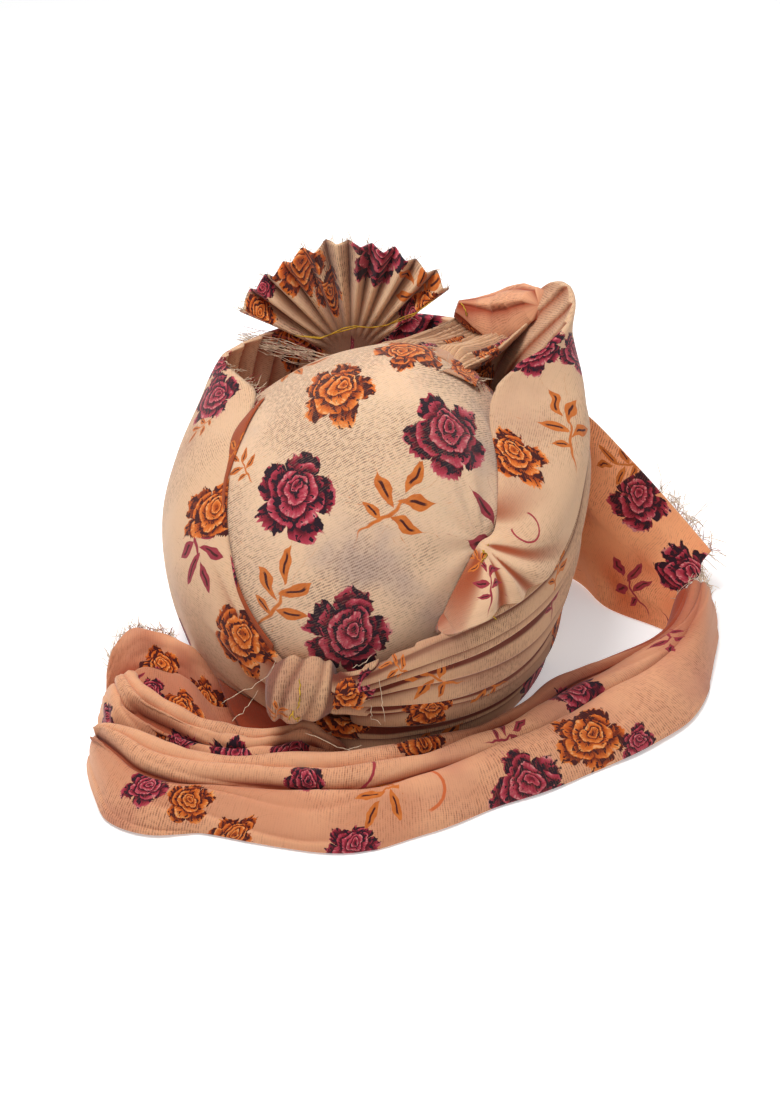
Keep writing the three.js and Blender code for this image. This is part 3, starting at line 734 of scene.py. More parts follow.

# %% [markdown]
# ## Finished muslin
# One function makes each cloth material: base dye, the weave's dark lines, a painted shade of deeper orange
# in the folds, hollows and lower parts, where light comes through the thin cloth twice, painted shade patches
# at random places, and the print on top. The print sinks into the weave, so its lines show through the
# flowers too. A little scattering under the surface and a soft sheen make it cloth and not paint.


# %% Muslin material
def muslin(name, pale, deep, gap, spacing, slope, strength, shade_patch, shade_patches):
    """A cloth material: its pale dye and the deep colour of its painted shade, the colour seen between its
    threads, the rib spacing in metres, the rib direction in radians, how strongly the ribs show, and the
    colour of painted shade patches at random places, with their strength from 0 to 1."""
    material, tree, surface = new_material(name)
    cloth = tree.nodes.new("ShaderNodeUVMap")
    cloth.uv_map = "cloth"
    flowers = tree.nodes.new("ShaderNodeUVMap")
    flowers.uv_map = "print"
    weave = use_group(tree, WEAVE, {
        "Place": cloth.outputs[0], "Spacing": spacing, "Slope": slope, "Strength": strength})
    printed = use_group(tree, PRINT, {"Place": flowers.outputs[0]})
    painted_shade = tree.nodes.new("ShaderNodeAttribute")
    painted_shade.attribute_name = "painted_shade"
    cloud = object_noise(tree, scale=17, detail=3)
    tone = Wire(tree, weave.outputs["Tone"])
    # Painted shade: the per-vertex value blends the pale dye towards the deep colour.
    base = blend(tree, Wire(tree, painted_shade.outputs["Fac"]).ramp(0.0, 1.0), pale, deep)
    # Painted shade patches: greyish patches at random places, set by noise on the Object coordinates.
    base = blend(tree, cloud.ramp(0.5, 0.72) * shade_patches, base, shade_patch)
    base = blend(tree, tone.ramp(0.0, 1.0) * 0.85, base, gap)
    mask = Wire(tree, printed.outputs["Mask"]) * (tone.ramp(0.25, 1.1).inverse() * 0.3 + 0.7)
    base = blend(tree, mask, base, printed.outputs["Dye"])
    tree.links.new(base, surface.inputs["Base Color"])
    bump = tree.nodes.new("ShaderNodeBump")
    set_inputs(bump, {"Strength": 0.3, "Distance": 0.00015})
    tree.links.new(weave.outputs["Height"], bump.inputs["Height"])
    tree.links.new(bump.outputs[0], surface.inputs["Normal"])
    set_inputs(surface, {
        "Roughness": 0.88, "Sheen Weight": 0.15, "Sheen Roughness": 0.5, "Specular IOR Level": 0.2,
        "Subsurface Weight": 0.12, "Subsurface Radius": (0.009, 0.004, 0.002), "Subsurface Scale": 1.0})
    return material


CROWN_CLOTH = muslin(
    "crown muslin", dye(0.88, 0.732, 0.602), dye(0.80, 0.52, 0.34), dye(0.47, 0.36, 0.30),
    0.00128, math.radians(26), 0.62, dye(0.55, 0.50, 0.52), 0.5)
TURN_CLOTH = muslin(
    "turn muslin", dye(0.855, 0.695, 0.557), dye(0.60, 0.27, 0.14), dye(0.50, 0.34, 0.25),
    0.0012, 0.0, 0.42, dye(0.66, 0.47, 0.40), 0.35)
# The band muslin is a darker copy of the same cloth, as painted shade for the lower turns and the pieces by
# the knot.
BAND_CLOTH = muslin(
    "band muslin", dye(0.81, 0.63, 0.485), dye(0.40, 0.15, 0.09), dye(0.38, 0.25, 0.18),
    0.0012, math.pi / 2, 0.55, dye(0.58, 0.36, 0.30), 0.4)
TAIL_CLOTH = muslin(
    "tail muslin", dye(0.88, 0.635, 0.485), dye(0.60, 0.24, 0.13), dye(0.50, 0.27, 0.18),
    0.00125, math.pi / 2, 0.45, dye(0.68, 0.40, 0.34), 0.45)
BACK_CLOTH = muslin(
    "back muslin", dye(0.97, 0.66, 0.47), dye(0.80, 0.36, 0.18), dye(0.60, 0.33, 0.22),
    0.00125, math.pi / 2, 0.5, dye(0.80, 0.45, 0.34), 0.4)
print("materials:", [m.name for m in bpy.data.materials])

# %% [markdown]
# ## Placing the print
# A flower is placed by the picture: the table gives where its middle shows and its half size in pixels.
# The nearest face point that looks at the camera carries it. The cloth UV round that point is then turned
# so that the flower stands upright in the picture. Where the picture doesn't reach, a loose lattice of
# flowers goes on at the same scale. Each mesh face takes the nearest flower, and so one print group
# serves them all.

# %% Flowers onto the mesh
PIXEL = CAMERA_DISTANCE / FOCUS_PIXELS
FLOWER = "kind right down size turn number"
LATTICE = 0.078
LATTICE_ROW = LATTICE * 0.52
LATTICE_CLEAR = LATTICE * 0.72
LATTICE_EDGE = 0.01
LATTICE_DRIFT = 0.008
ROSE_SIZE, SPRIG_SIZE = 0.025, 0.028
FLOWER_REACH, FLOWER_LIMIT = 1.35, 1.9


def frame_at(spot, rows, shown, cloth):
    """The directions on the cloth that show as right and up in the picture at a grid point."""
    i, j = np.unravel_index(spot, rows)
    i0, i1 = max(i - 2, 0), min(i + 2, rows[0] - 1)
    j0, j1 = max(j - 2, 0), min(j + 2, rows[1] - 1)
    seen = np.stack([shown[i1, j, :2] - shown[i0, j, :2], shown[i, j1, :2] - shown[i, j0, :2]])
    worn = np.stack([cloth[i1, j] - cloth[i0, j], cloth[i, j1] - cloth[i, j0]])
    right = np.linalg.pinv(seen.T) @ np.array([1.0, 0.0]) @ worn
    up = np.linalg.pinv(seen.T) @ np.array([0.0, -1.0]) @ worn
    right /= max(np.linalg.norm(right), 1e-9)
    square = np.array([-right[1], right[0]])
    return right, square * (1 if square @ up >= 0 else -1)


def chosen_flowers(name, rows):
    """The flowers of a table, each with its kind, middle, size, two directions on the cloth and number."""
    face, cloth = PIECES[name]["face"], PIECES[name]["cloth"]
    shown = picture(face)
    flowers = []
    for kind, right, down, size, turn, number in zip(*rows.values()):
        spot = nearest_shown(shown, right, down)
        e_right, e_up = frame_at(spot, shown.shape[:2], shown, cloth)
        c, s = math.cos(math.radians(turn)), math.sin(math.radians(turn))
        centre = cloth.reshape(-1, 2)[spot]
        flowers.append((kind, centre, size * PIXEL, e_right * c + e_up * s, e_up * c - e_right * s, number))
    return flowers


def lattice_flowers(cloth, chosen, seed):
    """Flowers on a loose lattice over the cloth, where no chosen one is near."""
    random = np.random.default_rng(seed)
    low, high = cloth.reshape(-1, 2).min(0), cloth.reshape(-1, 2).max(0)
    flowers = []
    for a in np.arange(low[0] + LATTICE_EDGE, high[0], LATTICE):
        for b in np.arange(low[1] + LATTICE_EDGE, high[1], LATTICE_ROW):
            odd = round((b - low[1]) / LATTICE_ROW) % 2
            drift = random.uniform(-LATTICE_DRIFT, LATTICE_DRIFT, 2)
            centre = np.array([a + odd * LATTICE / 2, b]) + drift
            kind = (WINE_ROSE, ORANGE_SPRIG, ORANGE_ROSE, WINE_SPRIG)[random.integers(4)]
            angle = random.uniform(0, 2 * math.pi)
            number = int(random.integers(1, 30))
            if all(np.linalg.norm(centre - c) > LATTICE_CLEAR for c in chosen):
                right = np.array([math.cos(angle), math.sin(angle)])
                size = ROSE_SIZE if kind in (WINE_ROSE, ORANGE_ROSE) else SPRIG_SIZE
                flowers.append((kind, centre, size, right, np.array([-right[1], right[0]]), number))
    return flowers


def place_print(piece, rows, lattice=True, seed=1):
    """Writes the print UV of a piece: chosen flowers by pixel first, then the lattice where none is near."""
    flowers = chosen_flowers(piece.name, rows)
    if lattice:
        flowers += lattice_flowers(PIECES[piece.name]["cloth"], [f[1] for f in flowers], seed)
    mesh = piece.data
    corner = np.zeros(len(mesh.loops) * 2, np.float32)
    mesh.uv_layers["cloth"].data.foreach_get("uv", corner)
    corner = corner.reshape(-1, 2).astype(float)
    sizes = np.zeros(len(mesh.polygons), np.int32)
    mesh.polygons.foreach_get("loop_total", sizes)
    owner = np.repeat(np.arange(len(sizes)), sizes)
    middle = np.stack([np.bincount(owner, corner[:, k]) for k in (0, 1)], -1) / sizes[:, None]
    best = np.full(len(sizes), FLOWER_REACH)
    place = np.zeros_like(corner)
    for kind, centre, size, e_right, e_up, number in flowers:
        axes = np.stack([e_right, e_up], -1) / size
        reach = np.linalg.norm((middle - centre) @ axes, axis=-1)
        take = reach < best
        best[take] = reach[take]
        chosen = take[owner]
        turned = np.clip((corner[chosen] - centre) @ axes, -FLOWER_LIMIT, FLOWER_LIMIT)
        place[chosen] = turned + np.array([CELL * kind, CELL * number])
    layer = mesh.uv_layers.new(name="print")
    layer.data.foreach_set("uv", place.astype(np.float32).ravel())
    print(piece.name, "flowers:", len(flowers))


def dress(piece, material, nodes):
    """Gives a finished piece its material and its body, and hides the solids of the nodes that it stands for.
    """
    piece.data.materials.append(material)
    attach(piece, "root")
    if nodes:
        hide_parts(*nodes)
    print(piece.name, "area:", round(sum(f.area for f in piece.data.polygons) / 2, 4), "m2 on one side")
    return piece


# %% [markdown]
# ## The crown
# The smooth front of the crown is one layer pulled tight over the layers under it. It is made like a bowl:
# oval rings from the rim to the top, with a second skin inside for the head hollow. Its cloth UV is
# measured from the middle of its front, like a map round a pole, so that threads run straight there.

# %% Crown shell
CROWN_ROWS, CROWN_COLUMNS = 96, 220
MAP_CENTRE = np.array([0.0, 0.0, 0.055])
MAP_RADIUS = 0.108


def crown_map(points):
    """Cloth coordinates like a map round the point that faces the camera: the angle from it times the
    radius, in the direction in which a point lies from it."""
    d = (points - MAP_CENTRE) / np.array([1.0, 1.1, 1.05])
    d = d / np.linalg.norm(d, axis=-1, keepdims=True)
    aside, high = d[..., 0], d @ upward
    angle = np.arccos(np.clip(d @ backward, -1, 1))
    flat = np.maximum(np.hypot(aside, high), 1e-6)
    return np.stack([MAP_RADIUS * angle * aside / flat, MAP_RADIUS * angle * high / flat], -1)


GATHER_AZIMUTH, GATHER_HEIGHT = -54.0, 0.113
METRES_PER_DEGREE = 0.0019
CLOSING = 0.8
TOP_BOW = 0.0026


def gather(azimuth, z, reach, count):
    """Folds that run out from the gather at the crown's right, from -1 to 1, fading with the distance."""
    across, up = (azimuth - GATHER_AZIMUTH) * METRES_PER_DEGREE, z - GATHER_HEIGHT
    far = np.hypot(across, up)
    angle = np.arctan2(up, across)
    return np.cos(count * angle + np.sin(2 * angle)) * np.exp(-((far / reach) ** 2)) * smooth(far / 0.008)


def dome_skin(azimuth, u, out, height):
    """A skin of the crown: up the belly for the first share of the way, then in to the middle of its top
    along a flat bow."""
    rise = np.minimum(u / CLOSING, 1)
    level = height * DOME_FLAT * np.sin(rise * math.pi / 2) ** 0.9
    skin = on_crown(azimuth, level, out)
    inward = np.maximum(0, (u - CLOSING) / (1 - CLOSING))
    middle = on_crown(np.array([90.0, -90.0]), np.full(2, height * DOME_FLAT), out).mean(0)
    skin = mix(middle, skin, 1 - inward[..., None])
    skin[..., 2] += TOP_BOW * (1 - (1 - inward) ** 2)
    return skin


def crown():
    """Two skins joined at the rim: the face with soft tension folds, and the inside 3 mm within it."""
    u, v = grid(CROWN_ROWS, CROWN_COLUMNS)
    azimuth = 360 * v - 180
    face = dome_skin(azimuth, u, 0.0, CROWN_HEIGHT)
    level = face[..., 2]
    slack = wrinkle(azimuth / 9, level * 60, 3) * 0.0004 + wrinkle(azimuth / 22, level * 16, 5) * 0.0007
    slack = slack * smooth(v * 12) * smooth((1 - v) * 12) * smooth((1 - u) * 6)
    slack = slack + gather(azimuth, level, reach=0.045, count=8) * 0.0011
    face = face - normals(face) * (slack * smooth(u * 9))[..., None]
    face[:, -1] = face[:, 0]
    inner = dome_skin(azimuth, u, -CROWN_WALL, CROWN_HEIGHT - CROWN_WALL)
    cloth = crown_map(face)
    skins = np.concatenate([inner[::-1], face])
    faces, uvs = patch(closed_rings(skins), np.concatenate([cloth[::-1], cloth]))
    PIECES["crown"] = {"face": face + AXIS, "cloth": cloth}
    # Painted shade: the crown darkens towards its bottom.
    low = 0.75 * smooth((0.085 - skins[..., 2]) / 0.06)
    return mesh_object("crown", skins.reshape(-1, 3) + AXIS, faces, uvs, low)


crown_piece = crown()
place_print(crown_piece, table(FLOWER, [
    (ORANGE_ROSE, 335, 388, 42, 0, 1), (WINE_ROSE, 453, 436, 46, 10, 2), (WINE_ROSE, 293, 498, 47, 25, 3),
    (WINE_ROSE, 344, 637, 46, 0, 4), (ORANGE_SPRIG, 402, 496, 46, -38, 5),
    (ORANGE_SPRIG, 279, 584, 46, -24, 7), (ORANGE_SPRIG, 240, 462, 26, 60, 8),
]), seed=11)
dress(crown_piece, CROWN_CLOTH, ["cap"])
print("crown faces:", len(crown_piece.data.polygons))

# %% [markdown]
# ## The wound turns
# A turn is a band between two edges that are functions of the azimuth. Its face follows the wall and,
# where it lies on the crown, comes down to it. Its folds grow towards the knot or run out of the gather.


# %% Turn surfaces
TURN_EDGE = 0.0032
LINING, LINING_FOLD = 0.0036, 0.0028
CROWN_GAP = 0.0004


def inner_pleats(azimuth, z):
    """Upright pleats on the inner side of the turns, slanting a little."""
    return pleats(azimuth / 8 + z * 25)


def turn_grid(u, v, start, end, low, high, hug, bulge, relief):
    """Face and back of a turn on grids of u, its height share, and v, its way from start to end. The face
    is the wall, lifted by a blunt sine and the relief, and goes over to the crown where hug is 1."""
    azimuth = mix(start, end, v)
    bottom, top = low(azimuth), high(azimuth)
    z = mix(bottom, top, u)
    lift = bulge * np.sin(math.pi * np.clip(u, 0.001, 0.999)) ** 0.6 + relief
    cling = (hug(azimuth) * u**2.2)[..., None]
    face = mix(on_wall(azimuth, z, lift), on_crown(azimuth, z, TURN_EDGE + relief * 0.5), cling)
    stand = ((1 - hug(azimuth)) * smooth((z / np.maximum(top, 1e-6) - 0.5) * 2))[..., None]
    inner = on_wall(azimuth, z, -LINING - LINING_FOLD * inner_pleats(azimuth, z))
    back = mix(on_crown(azimuth, z, CROWN_GAP), inner, stand)
    return face, back


def turn_piece(name, start, end, low, high, hug, bulge, relief, painted_shade, size, edge_u=0.03, edge_v=0.01):
    """A turn as a closed shell with round edges. Its relief and its painted shade are functions of u, v, the
    azimuth and the height, and its size is the number of its rows and columns."""
    u, v = grid(*size)
    azimuth = mix(start, end, v)
    height = mix(low(azimuth), high(azimuth), u)
    face, back = turn_grid(u, v, start, end, low, high, hug, bulge, relief(u, v, azimuth, height))
    sep = (rounded(u, edge_u) * rounded(v, edge_v))[..., None]
    middle, half = (face + back) / 2, (face - back) / 2
    hold = (1 - sep) * smooth((u - 0.5) * 4)[..., None]
    middle = mix(middle, back + half * 0.35, hold)
    # Painted shade on the inner side of the turn, deepest between its inner pleats.
    inside = 0.3 + 0.6 * (1 - inner_pleats(azimuth, height)) ** 2
    return shell(name, middle + half * sep, middle - half * sep, painted_shade(u, v, azimuth, height), inside)


def column_of(rows, column, unit=1.0):
    """A column of a table as a function of the azimuth, times a unit."""
    return lambda azimuth: unit * read(rows, column, azimuth)


def lower_edge(k):
    """The edge between lower turn k and the next one, as a function of the azimuth."""
    return column_of(LOWER, f"edge{k}", WALL_HEIGHT)


def flat(value):
    """One value at every azimuth."""
    return lambda azimuth: value + 0 * azimuth


# %% Left turn
TURNS_MEET, MEETING_GAP = 150, 0.3
LEFT_FROM, LEFT_TO = TURNS_MEET + MEETING_GAP, 243


def left_pleats(u, v):
    """Three pleats along the turn, wavering a little across it."""
    return pleats(u * 3 + 0.25 * np.sin(v * 5) + 0.3)


def left_relief(u, v, azimuth, height):
    """Long soft folds that grow towards the knot, and small wrinkles."""
    grow = smooth((v - 0.6) / 0.4)
    ridges = left_pleats(u, v) * 0.0026 * grow
    return ridges + wrinkle(u * 7, v * 22, 21) * 0.0008 + wrinkle(u * 3, v * 8, 22) * 0.0014 - 0.001


def left_shade(u, v, azimuth, height):
    """Painted shade beside the knot, in its folds and along its lower edge."""
    grow = smooth((v - 0.6) / 0.4)
    valley = grow * (1 - left_pleats(u, v)) ** 2
    return np.clip(valley * 0.8 + 0.45 * smooth((v - 0.8) * 5) + 0.3 * smooth((0.2 - u) * 5), 0, 1)


left_piece = turn_piece(
    "left_turn_cloth", LEFT_FROM, LEFT_TO, column_of(LEFT, "low", WALL_HEIGHT),
    column_of(LEFT, "high", WALL_HEIGHT), column_of(LEFT, "hug"), 0.0, left_relief, left_shade, (110, 170))
place_print(left_piece, table(FLOWER, [
    (WINE_ROSE, 210, 396, 36, 0, 9), (ORANGE_SPRIG, 196, 428, 22, 150, 10),
    (ORANGE_ROSE, 207, 513, 42, 0, 11), (WINE_SPRIG, 196, 560, 42, 200, 12),
    (ORANGE_ROSE, 238, 645, 40, 0, 13), (WINE_ROSE, 180, 330, 22, 0, 14),
]), seed=12)
dress(left_piece, TURN_CLOTH, ["left_turn"])


# %% Right turn
RIGHT_FROM, RIGHT_TO = -74, TURNS_MEET - MEETING_GAP


def right_gather(azimuth, height):
    """The folds of the gather on the right turn, from -1 to 1."""
    return gather(azimuth, height, reach=0.036, count=9)


def right_relief(u, v, azimuth, height):
    """Folds out of the gather, a thicker lower edge that lies over the turn below, and small wrinkles."""
    folds = right_gather(azimuth, height) * 0.0032
    lap = 0.0012 * smooth((0.25 - u) * 4)
    return folds + lap + wrinkle(u * 6, v * 26, 31) * 0.0008 + wrinkle(u * 2.5, v * 11, 32) * 0.0013


def right_shade(u, v, azimuth, height):
    """Painted shade between the folds of the gather and at the turn's front end."""
    folds = np.clip(-right_gather(azimuth, height), 0, 1) ** 0.8
    return np.clip(folds * 1.1 + 0.3 * smooth((-60 - azimuth) / 12), 0, 1)


right_piece = turn_piece(
    "right_turn_cloth", RIGHT_FROM, RIGHT_TO, lower_edge(4), column_of(RIGHT, "high", WALL_HEIGHT),
    column_of(RIGHT, "hug"), 0.0, right_relief, right_shade, (110, 360), edge_v=0.02)
place_print(right_piece, table(FLOWER, [
    (ORANGE_ROSE, 500, 372, 30, 0, 15), (WINE_ROSE, 536, 350, 26, 30, 16),
    (ORANGE_ROSE, 514, 452, 38, 0, 17), (ORANGE_SPRIG, 568, 418, 40, 10, 18),
    (WINE_ROSE, 583, 352, 26, 0, 19), (WINE_SPRIG, 486, 572, 26, 30, 20),
    (WINE_TENDRIL, 528, 524, 20, 250, 21), (ORANGE_SPRIG, 474, 556, 20, 60, 22),
]), seed=13)
dress(right_piece, TURN_CLOTH, ["right_turn"])


# %% [markdown]
# ## The lower turns
# Four narrower turns cross the front below the crown, one over the other. Each is itself two or three
# flat pleats, so its relief is the pleat function of its own height.

# %% Lower turns
BAND_LAP = 0.003
BAND_BULGE = 0.0012
BAND_SEED = 40


def band_pleats(u, v, seed):
    """Nearly two pleats along the turn, wavering across it."""
    return pleats(u * 1.9 + 0.3 * np.sin(v * 6 + seed))


def band_relief(seed):
    """The turn's lower edge lies over the turn below and its upper edge goes under the next one. Two soft
    pleats run along it, and small wrinkles."""
    def relief(u, v, azimuth, height):
        tilt = 0.0034 * (0.55 - u)
        crest = band_pleats(u, v, seed) * 0.0016 * smooth((1 - u) * 5) * smooth(u * 8)
        small = wrinkle(u * 4, v * 30, seed) * 0.0006
        return tilt + crest + small + wrinkle(u * 2, v * 14, seed + 5) * 0.0009
    return relief


def band_shade(k):
    """Painted shade in a line under the lap of the next turn, between the pleats, and towards the knot."""
    def painted_shade(u, v, azimuth, height):
        line = smooth((u - 0.70) * 9) * (1.0 if k < 4 else 0.2)
        valley = (1 - band_pleats(u, v, BAND_SEED + k)) ** 3 * 0.75
        return np.clip(line + valley * smooth((1 - u) * 5) + smooth(0.9 - v * 9) * 0.55, 0, 1)
    return painted_shade


def band_top(k):
    """The upper edge of a turn with its lap under the next one. The topmost turn has none."""
    return lambda azimuth: lower_edge(k)(azimuth) + BAND_LAP * smooth((azimuth + 90) / 12) * (k < 4)


BAND_FROM = {1: -116, 2: -98, 3: -98, 4: -98}
BAND_FLOWERS = {
    1: table(FLOWER, [(ORANGE_ROSE, 340, 700, 30, 0, 23)]),
    2: table(FLOWER, [(ORANGE_SPRIG, 480, 690, 30, 100, 24), (ORANGE_ROSE, 430, 712, 26, 0, 25)]),
    3: table(FLOWER, [(ORANGE_SPRIG, 425, 682, 36, 80, 26), (WINE_SPRIG, 556, 590, 30, 40, 27)]),
    4: table(FLOWER, [(ORANGE_SPRIG, 392, 668, 20, 80, 28), (ORANGE_SPRIG, 560, 560, 30, 30, 29)]),
}
for k, start in BAND_FROM.items():
    band = turn_piece(
        f"lower_turn_cloth_{k}", start, RIGHT_TO, lower_edge(k - 1), band_top(k), flat(0.0), BAND_BULGE,
        band_relief(BAND_SEED + k), band_shade(k), (64, 320), edge_u=0.04, edge_v=0.02)
    place_print(band, BAND_FLOWERS[k], seed=50 + k)
    dress(band, BAND_CLOTH, [f"lower_turn_{k}"])

# %% Lobe by the knot
KNOT_LEVEL = 0.26 * WALL_HEIGHT
TUCK_FROM, TUCK_TO, TUCK_MEETS = -103, -90, -84.0
TUCK_HALF_HEIGHT, TUCK_BULGE = 0.0133, 0.005


def tuck_edge(side, k):
    """An edge of the lobe: from below or above the middle of the knot over to the lower turns."""
    met = lower_edge(k)(np.array(TUCK_MEETS))
    return lambda azimuth: mix(KNOT_LEVEL + side * TUCK_HALF_HEIGHT, met, smooth((azimuth + 101) / 17))


def tuck_pleats(u, v):
    """Three to four pleats along the lobe, turning a little."""
    return pleats(u * 3.6 + 0.35 * v + 0.2)


def tuck_relief(u, v, azimuth, height):
    """Folds that come out of the knot and flatten into the turns."""
    return tuck_pleats(u, v) * 0.0034 * smooth(1.3 - v) + wrinkle(u * 8, v * 8, 61) * 0.0008 - 0.004 * v


def tuck_shade(u, v, azimuth, height):
    """Painted shade between the pleats."""
    return np.clip((1 - tuck_pleats(u, v)) ** 1.5 * 0.9 + 0.2, 0, 1)


tuck = turn_piece(
    "knot_tuck_cloth", TUCK_FROM, TUCK_TO, tuck_edge(-1, 1), tuck_edge(1, 4), flat(0.0), TUCK_BULGE,
    tuck_relief, tuck_shade, (90, 70), edge_u=0.06, edge_v=0.12)
place_print(tuck, table(FLOWER, [
    (WINE_ROSE, 372, 690, 20, 0, 30), (ORANGE_ROSE, 345, 700, 26, 0, 31),
]), lattice=False)
dress(tuck, BAND_CLOTH, ["knot_tuck"])

# %% [markdown]
# ## The knot
# The tail is drawn through a tight knot. It is a round bundle seen from its side: three slanting folds
# wrapped round a core, made as rings across its width that shrink in the two valleys.

# %% Knot as a bundle of rings
KNOT = table("across thick", [
    (-1.0, 0.36), (-0.92, 0.66), (-0.64, 0.94), (-0.36, 0.86), (-0.08, 1.0), (0.24, 0.98), (0.42, 0.88),
    (0.70, 0.92), (0.92, 0.66), (1.0, 0.4),
])
KNOT_WIDTH, KNOT_DEPTH, KNOT_HEIGHT = 0.037, 0.038, 0.0345
KNOT_AZIMUTH = -110.0
KNOT_THREAD = 0.020


def bundle(name, rings, cloth, painted_shade):
    """A closed bundle from a row of rings, each end drawn in to its middle. The last column of every ring
    is its first one again, so that the cloth UV may run on past it."""
    face = np.concatenate([rings[:1], rings, rings[-1:]])
    face[0] = rings[0, :-1].mean(0)
    face[-1] = rings[-1, :-1].mean(0)
    faces, uvs = patch(closed_rings(face), np.concatenate([cloth[:1], cloth, cloth[-1:]]))
    shade = np.concatenate([painted_shade[:1], painted_shade, painted_shade[-1:]])
    piece = mesh_object(name, face.reshape(-1, 3) + AXIS, faces, uvs, shade)
    PIECES[name] = {"face": rings + AXIS, "cloth": cloth}
    print(name, "faces:", len(piece.data.polygons))
    return piece


def knot():
    """Rings across the width. Each is an oval whose size follows the folds, with fine creases across."""
    u, v = grid(90, 121)
    across = u * 2 - 1
    angle = v * 2 * math.pi
    thick = read(KNOT, "thick", across + 0.4 * np.sin(angle - 2.5) * np.cos(across * math.pi / 2))
    crease = wrinkle(u * 9, np.sin(angle) * 3, 71) * 0.02 + 0.025 * np.sin(angle * 3 + across * 2)
    middle = on_wall(np.array(KNOT_AZIMUTH), np.array(KNOT_LEVEL))
    x = across * KNOT_WIDTH / 2
    y = KNOT_DEPTH / 2 * (thick + crease) * np.cos(angle)
    z = KNOT_HEIGHT / 2 * (thick + crease) * np.sin(angle)
    cloth = np.stack([x, angle * KNOT_THREAD], -1)
    # Painted shade where the rings shrink into the valleys between the folds.
    painted_shade = 0.75 * smooth((0.95 - thick) * 8)
    return bundle("knot_cloth", vector(x, y, z) + middle, cloth, painted_shade)


knot_piece = knot()
place_print(knot_piece, table(FLOWER, [(ORANGE_SPRIG, 275, 716, 16, 0, 79)]), lattice=False)
dress(knot_piece, BAND_CLOTH, ["knot"])

# %% [markdown]
# ## The fan
# The cloth's starched end stands up behind the crown in sharp pleats. Rays run from a narrow stem, and a
# wave across them grows from nothing at the stem to its full depth well before the edge.

# %% Fan as rays with a wave across
FAN_AZIMUTH, FAN_LEVEL = 103, 0.72 * CROWN_HEIGHT
FAN_RADIUS, FAN_STEM, FAN_STEM_DEPTH, FAN_STEM_THICKNESS = 0.070, 0.012, 0.026, 0.009
FAN_STEM_SHARE = 0.25
FAN_PLEATS, FAN_WAVE, FAN_CLOTH = 11, 0.005, 0.0016
FAN_FROM, FAN_TO, FAN_LEAN = 36, 157, math.radians(10)


def fan():
    """Rays from a stem. The pleats are a wave with sharp turns, deepest in the outer part of the fan."""
    u, v = grid(70, 441)
    u = 1 - u
    angle = np.radians(mix(FAN_FROM, FAN_TO, v))
    seat = FAN_STEM_THICKNESS / 2 + CROWN_GAP
    foot = on_crown(np.array(float(FAN_AZIMUTH)), np.array(FAN_LEVEL), seat)
    opening = np.maximum(0, (u - FAN_STEM_SHARE) / (1 - FAN_STEM_SHARE))
    radius = mix(FAN_STEM, FAN_RADIUS, opening)
    ragged = wrinkle(v * 60, v * 3, 81) * 0.0016 * smooth((opening - 0.7) * 3)
    radius = radius + ragged
    rise = np.minimum(1, u / FAN_STEM_SHARE)
    up = radius * np.sin(angle) * rise - FAN_STEM_DEPTH * (1 - rise)
    wave = np.arcsin(0.97 * np.cos(2 * math.pi * FAN_PLEATS * v)) / 1.33
    full = smooth(opening / 0.62)
    back = np.maximum(0, up) * math.sin(FAN_LEAN) + wave * FAN_WAVE * full
    curl = wrinkle(v * 20, opening * 3, 83) * 0.002 * full
    height = foot[2] + up * math.cos(FAN_LEAN)
    points = vector(foot[0] + radius * np.cos(angle), foot[1] + back + curl, height)
    thick = mix(FAN_STEM_THICKNESS, FAN_CLOTH, smooth(u / 0.4))
    half = normals(points) * (thick / 2 * rounded(u, 0.02) * rounded(v, 0.004))[..., None]
    # Painted shade in the valleys of the pleats and towards the stem.
    valley = (wave * 0.5 + 0.5) * full
    painted_shade = np.clip(valley**1.4 * 0.8 + smooth((0.5 - opening) * 2) * 0.7, 0, 1)
    return shell("fan_cloth", points + half, points - half, painted_shade)


FAN_MUSLIN = muslin(
    "fan muslin", dye(0.86, 0.70, 0.56), dye(0.36, 0.15, 0.10), dye(0.34, 0.24, 0.20),
    0.0012, math.pi / 2, 0.65, dye(0.60, 0.40, 0.34), 0.4)
fan_piece = fan()
place_print(fan_piece, table(FLOWER, [
    (ORANGE_ROSE, 300, 272, 34, 0, 32), (WINE_ROSE, 377, 262, 36, 0, 33), (WINE_ROSE, 262, 292, 16, 0, 34),
    (ORANGE_SPRIG, 412, 290, 34, 40, 35), (WINE_ROSE, 356, 352, 16, 0, 36),
    (ORANGE_ROSE, 330, 300, 26, 0, 37), (WINE_ROSE, 408, 316, 20, 0, 38),
    (ORANGE_ROSE, 440, 330, 24, 0, 39), (ORANGE_ROSE, 262, 314, 18, 0, 40),
]), lattice=False)
dress(fan_piece, FAN_MUSLIN, ["fan"])

# %% [markdown]
# ## The roll
# Beside the fan the band is twisted into a thin roll that widens to the peak. It is a bundle of rings
# along a curved middle line, with folds that run along it.

# %% Roll
ROLL = table("along right back level thick", [
    (0.0, 0.38, 0.77, 0.85, 0.28), (0.25, 0.48, 0.76, 0.83, 0.62), (0.6, 0.62, 0.72, 0.83, 1.0),
    (0.85, 0.72, 0.64, 0.88, 0.95), (1.0, 0.77, 0.58, 0.93, 0.6),
])
ROLL_RADIUS = 0.0185
ROLL_ROUND, ROLL_LENGTH = 0.09, 0.075


def roll_line(u):
    """The middle line of the roll."""
    right = (RIM_HALF_WIDTH + WALL_SPREAD) * read(ROLL, "right", u)
    depth = (RIM_HALF_DEPTH + WALL_SPREAD) * read(ROLL, "back", u)
    return vector(right, depth, WALL_HEIGHT * read(ROLL, "level", u))


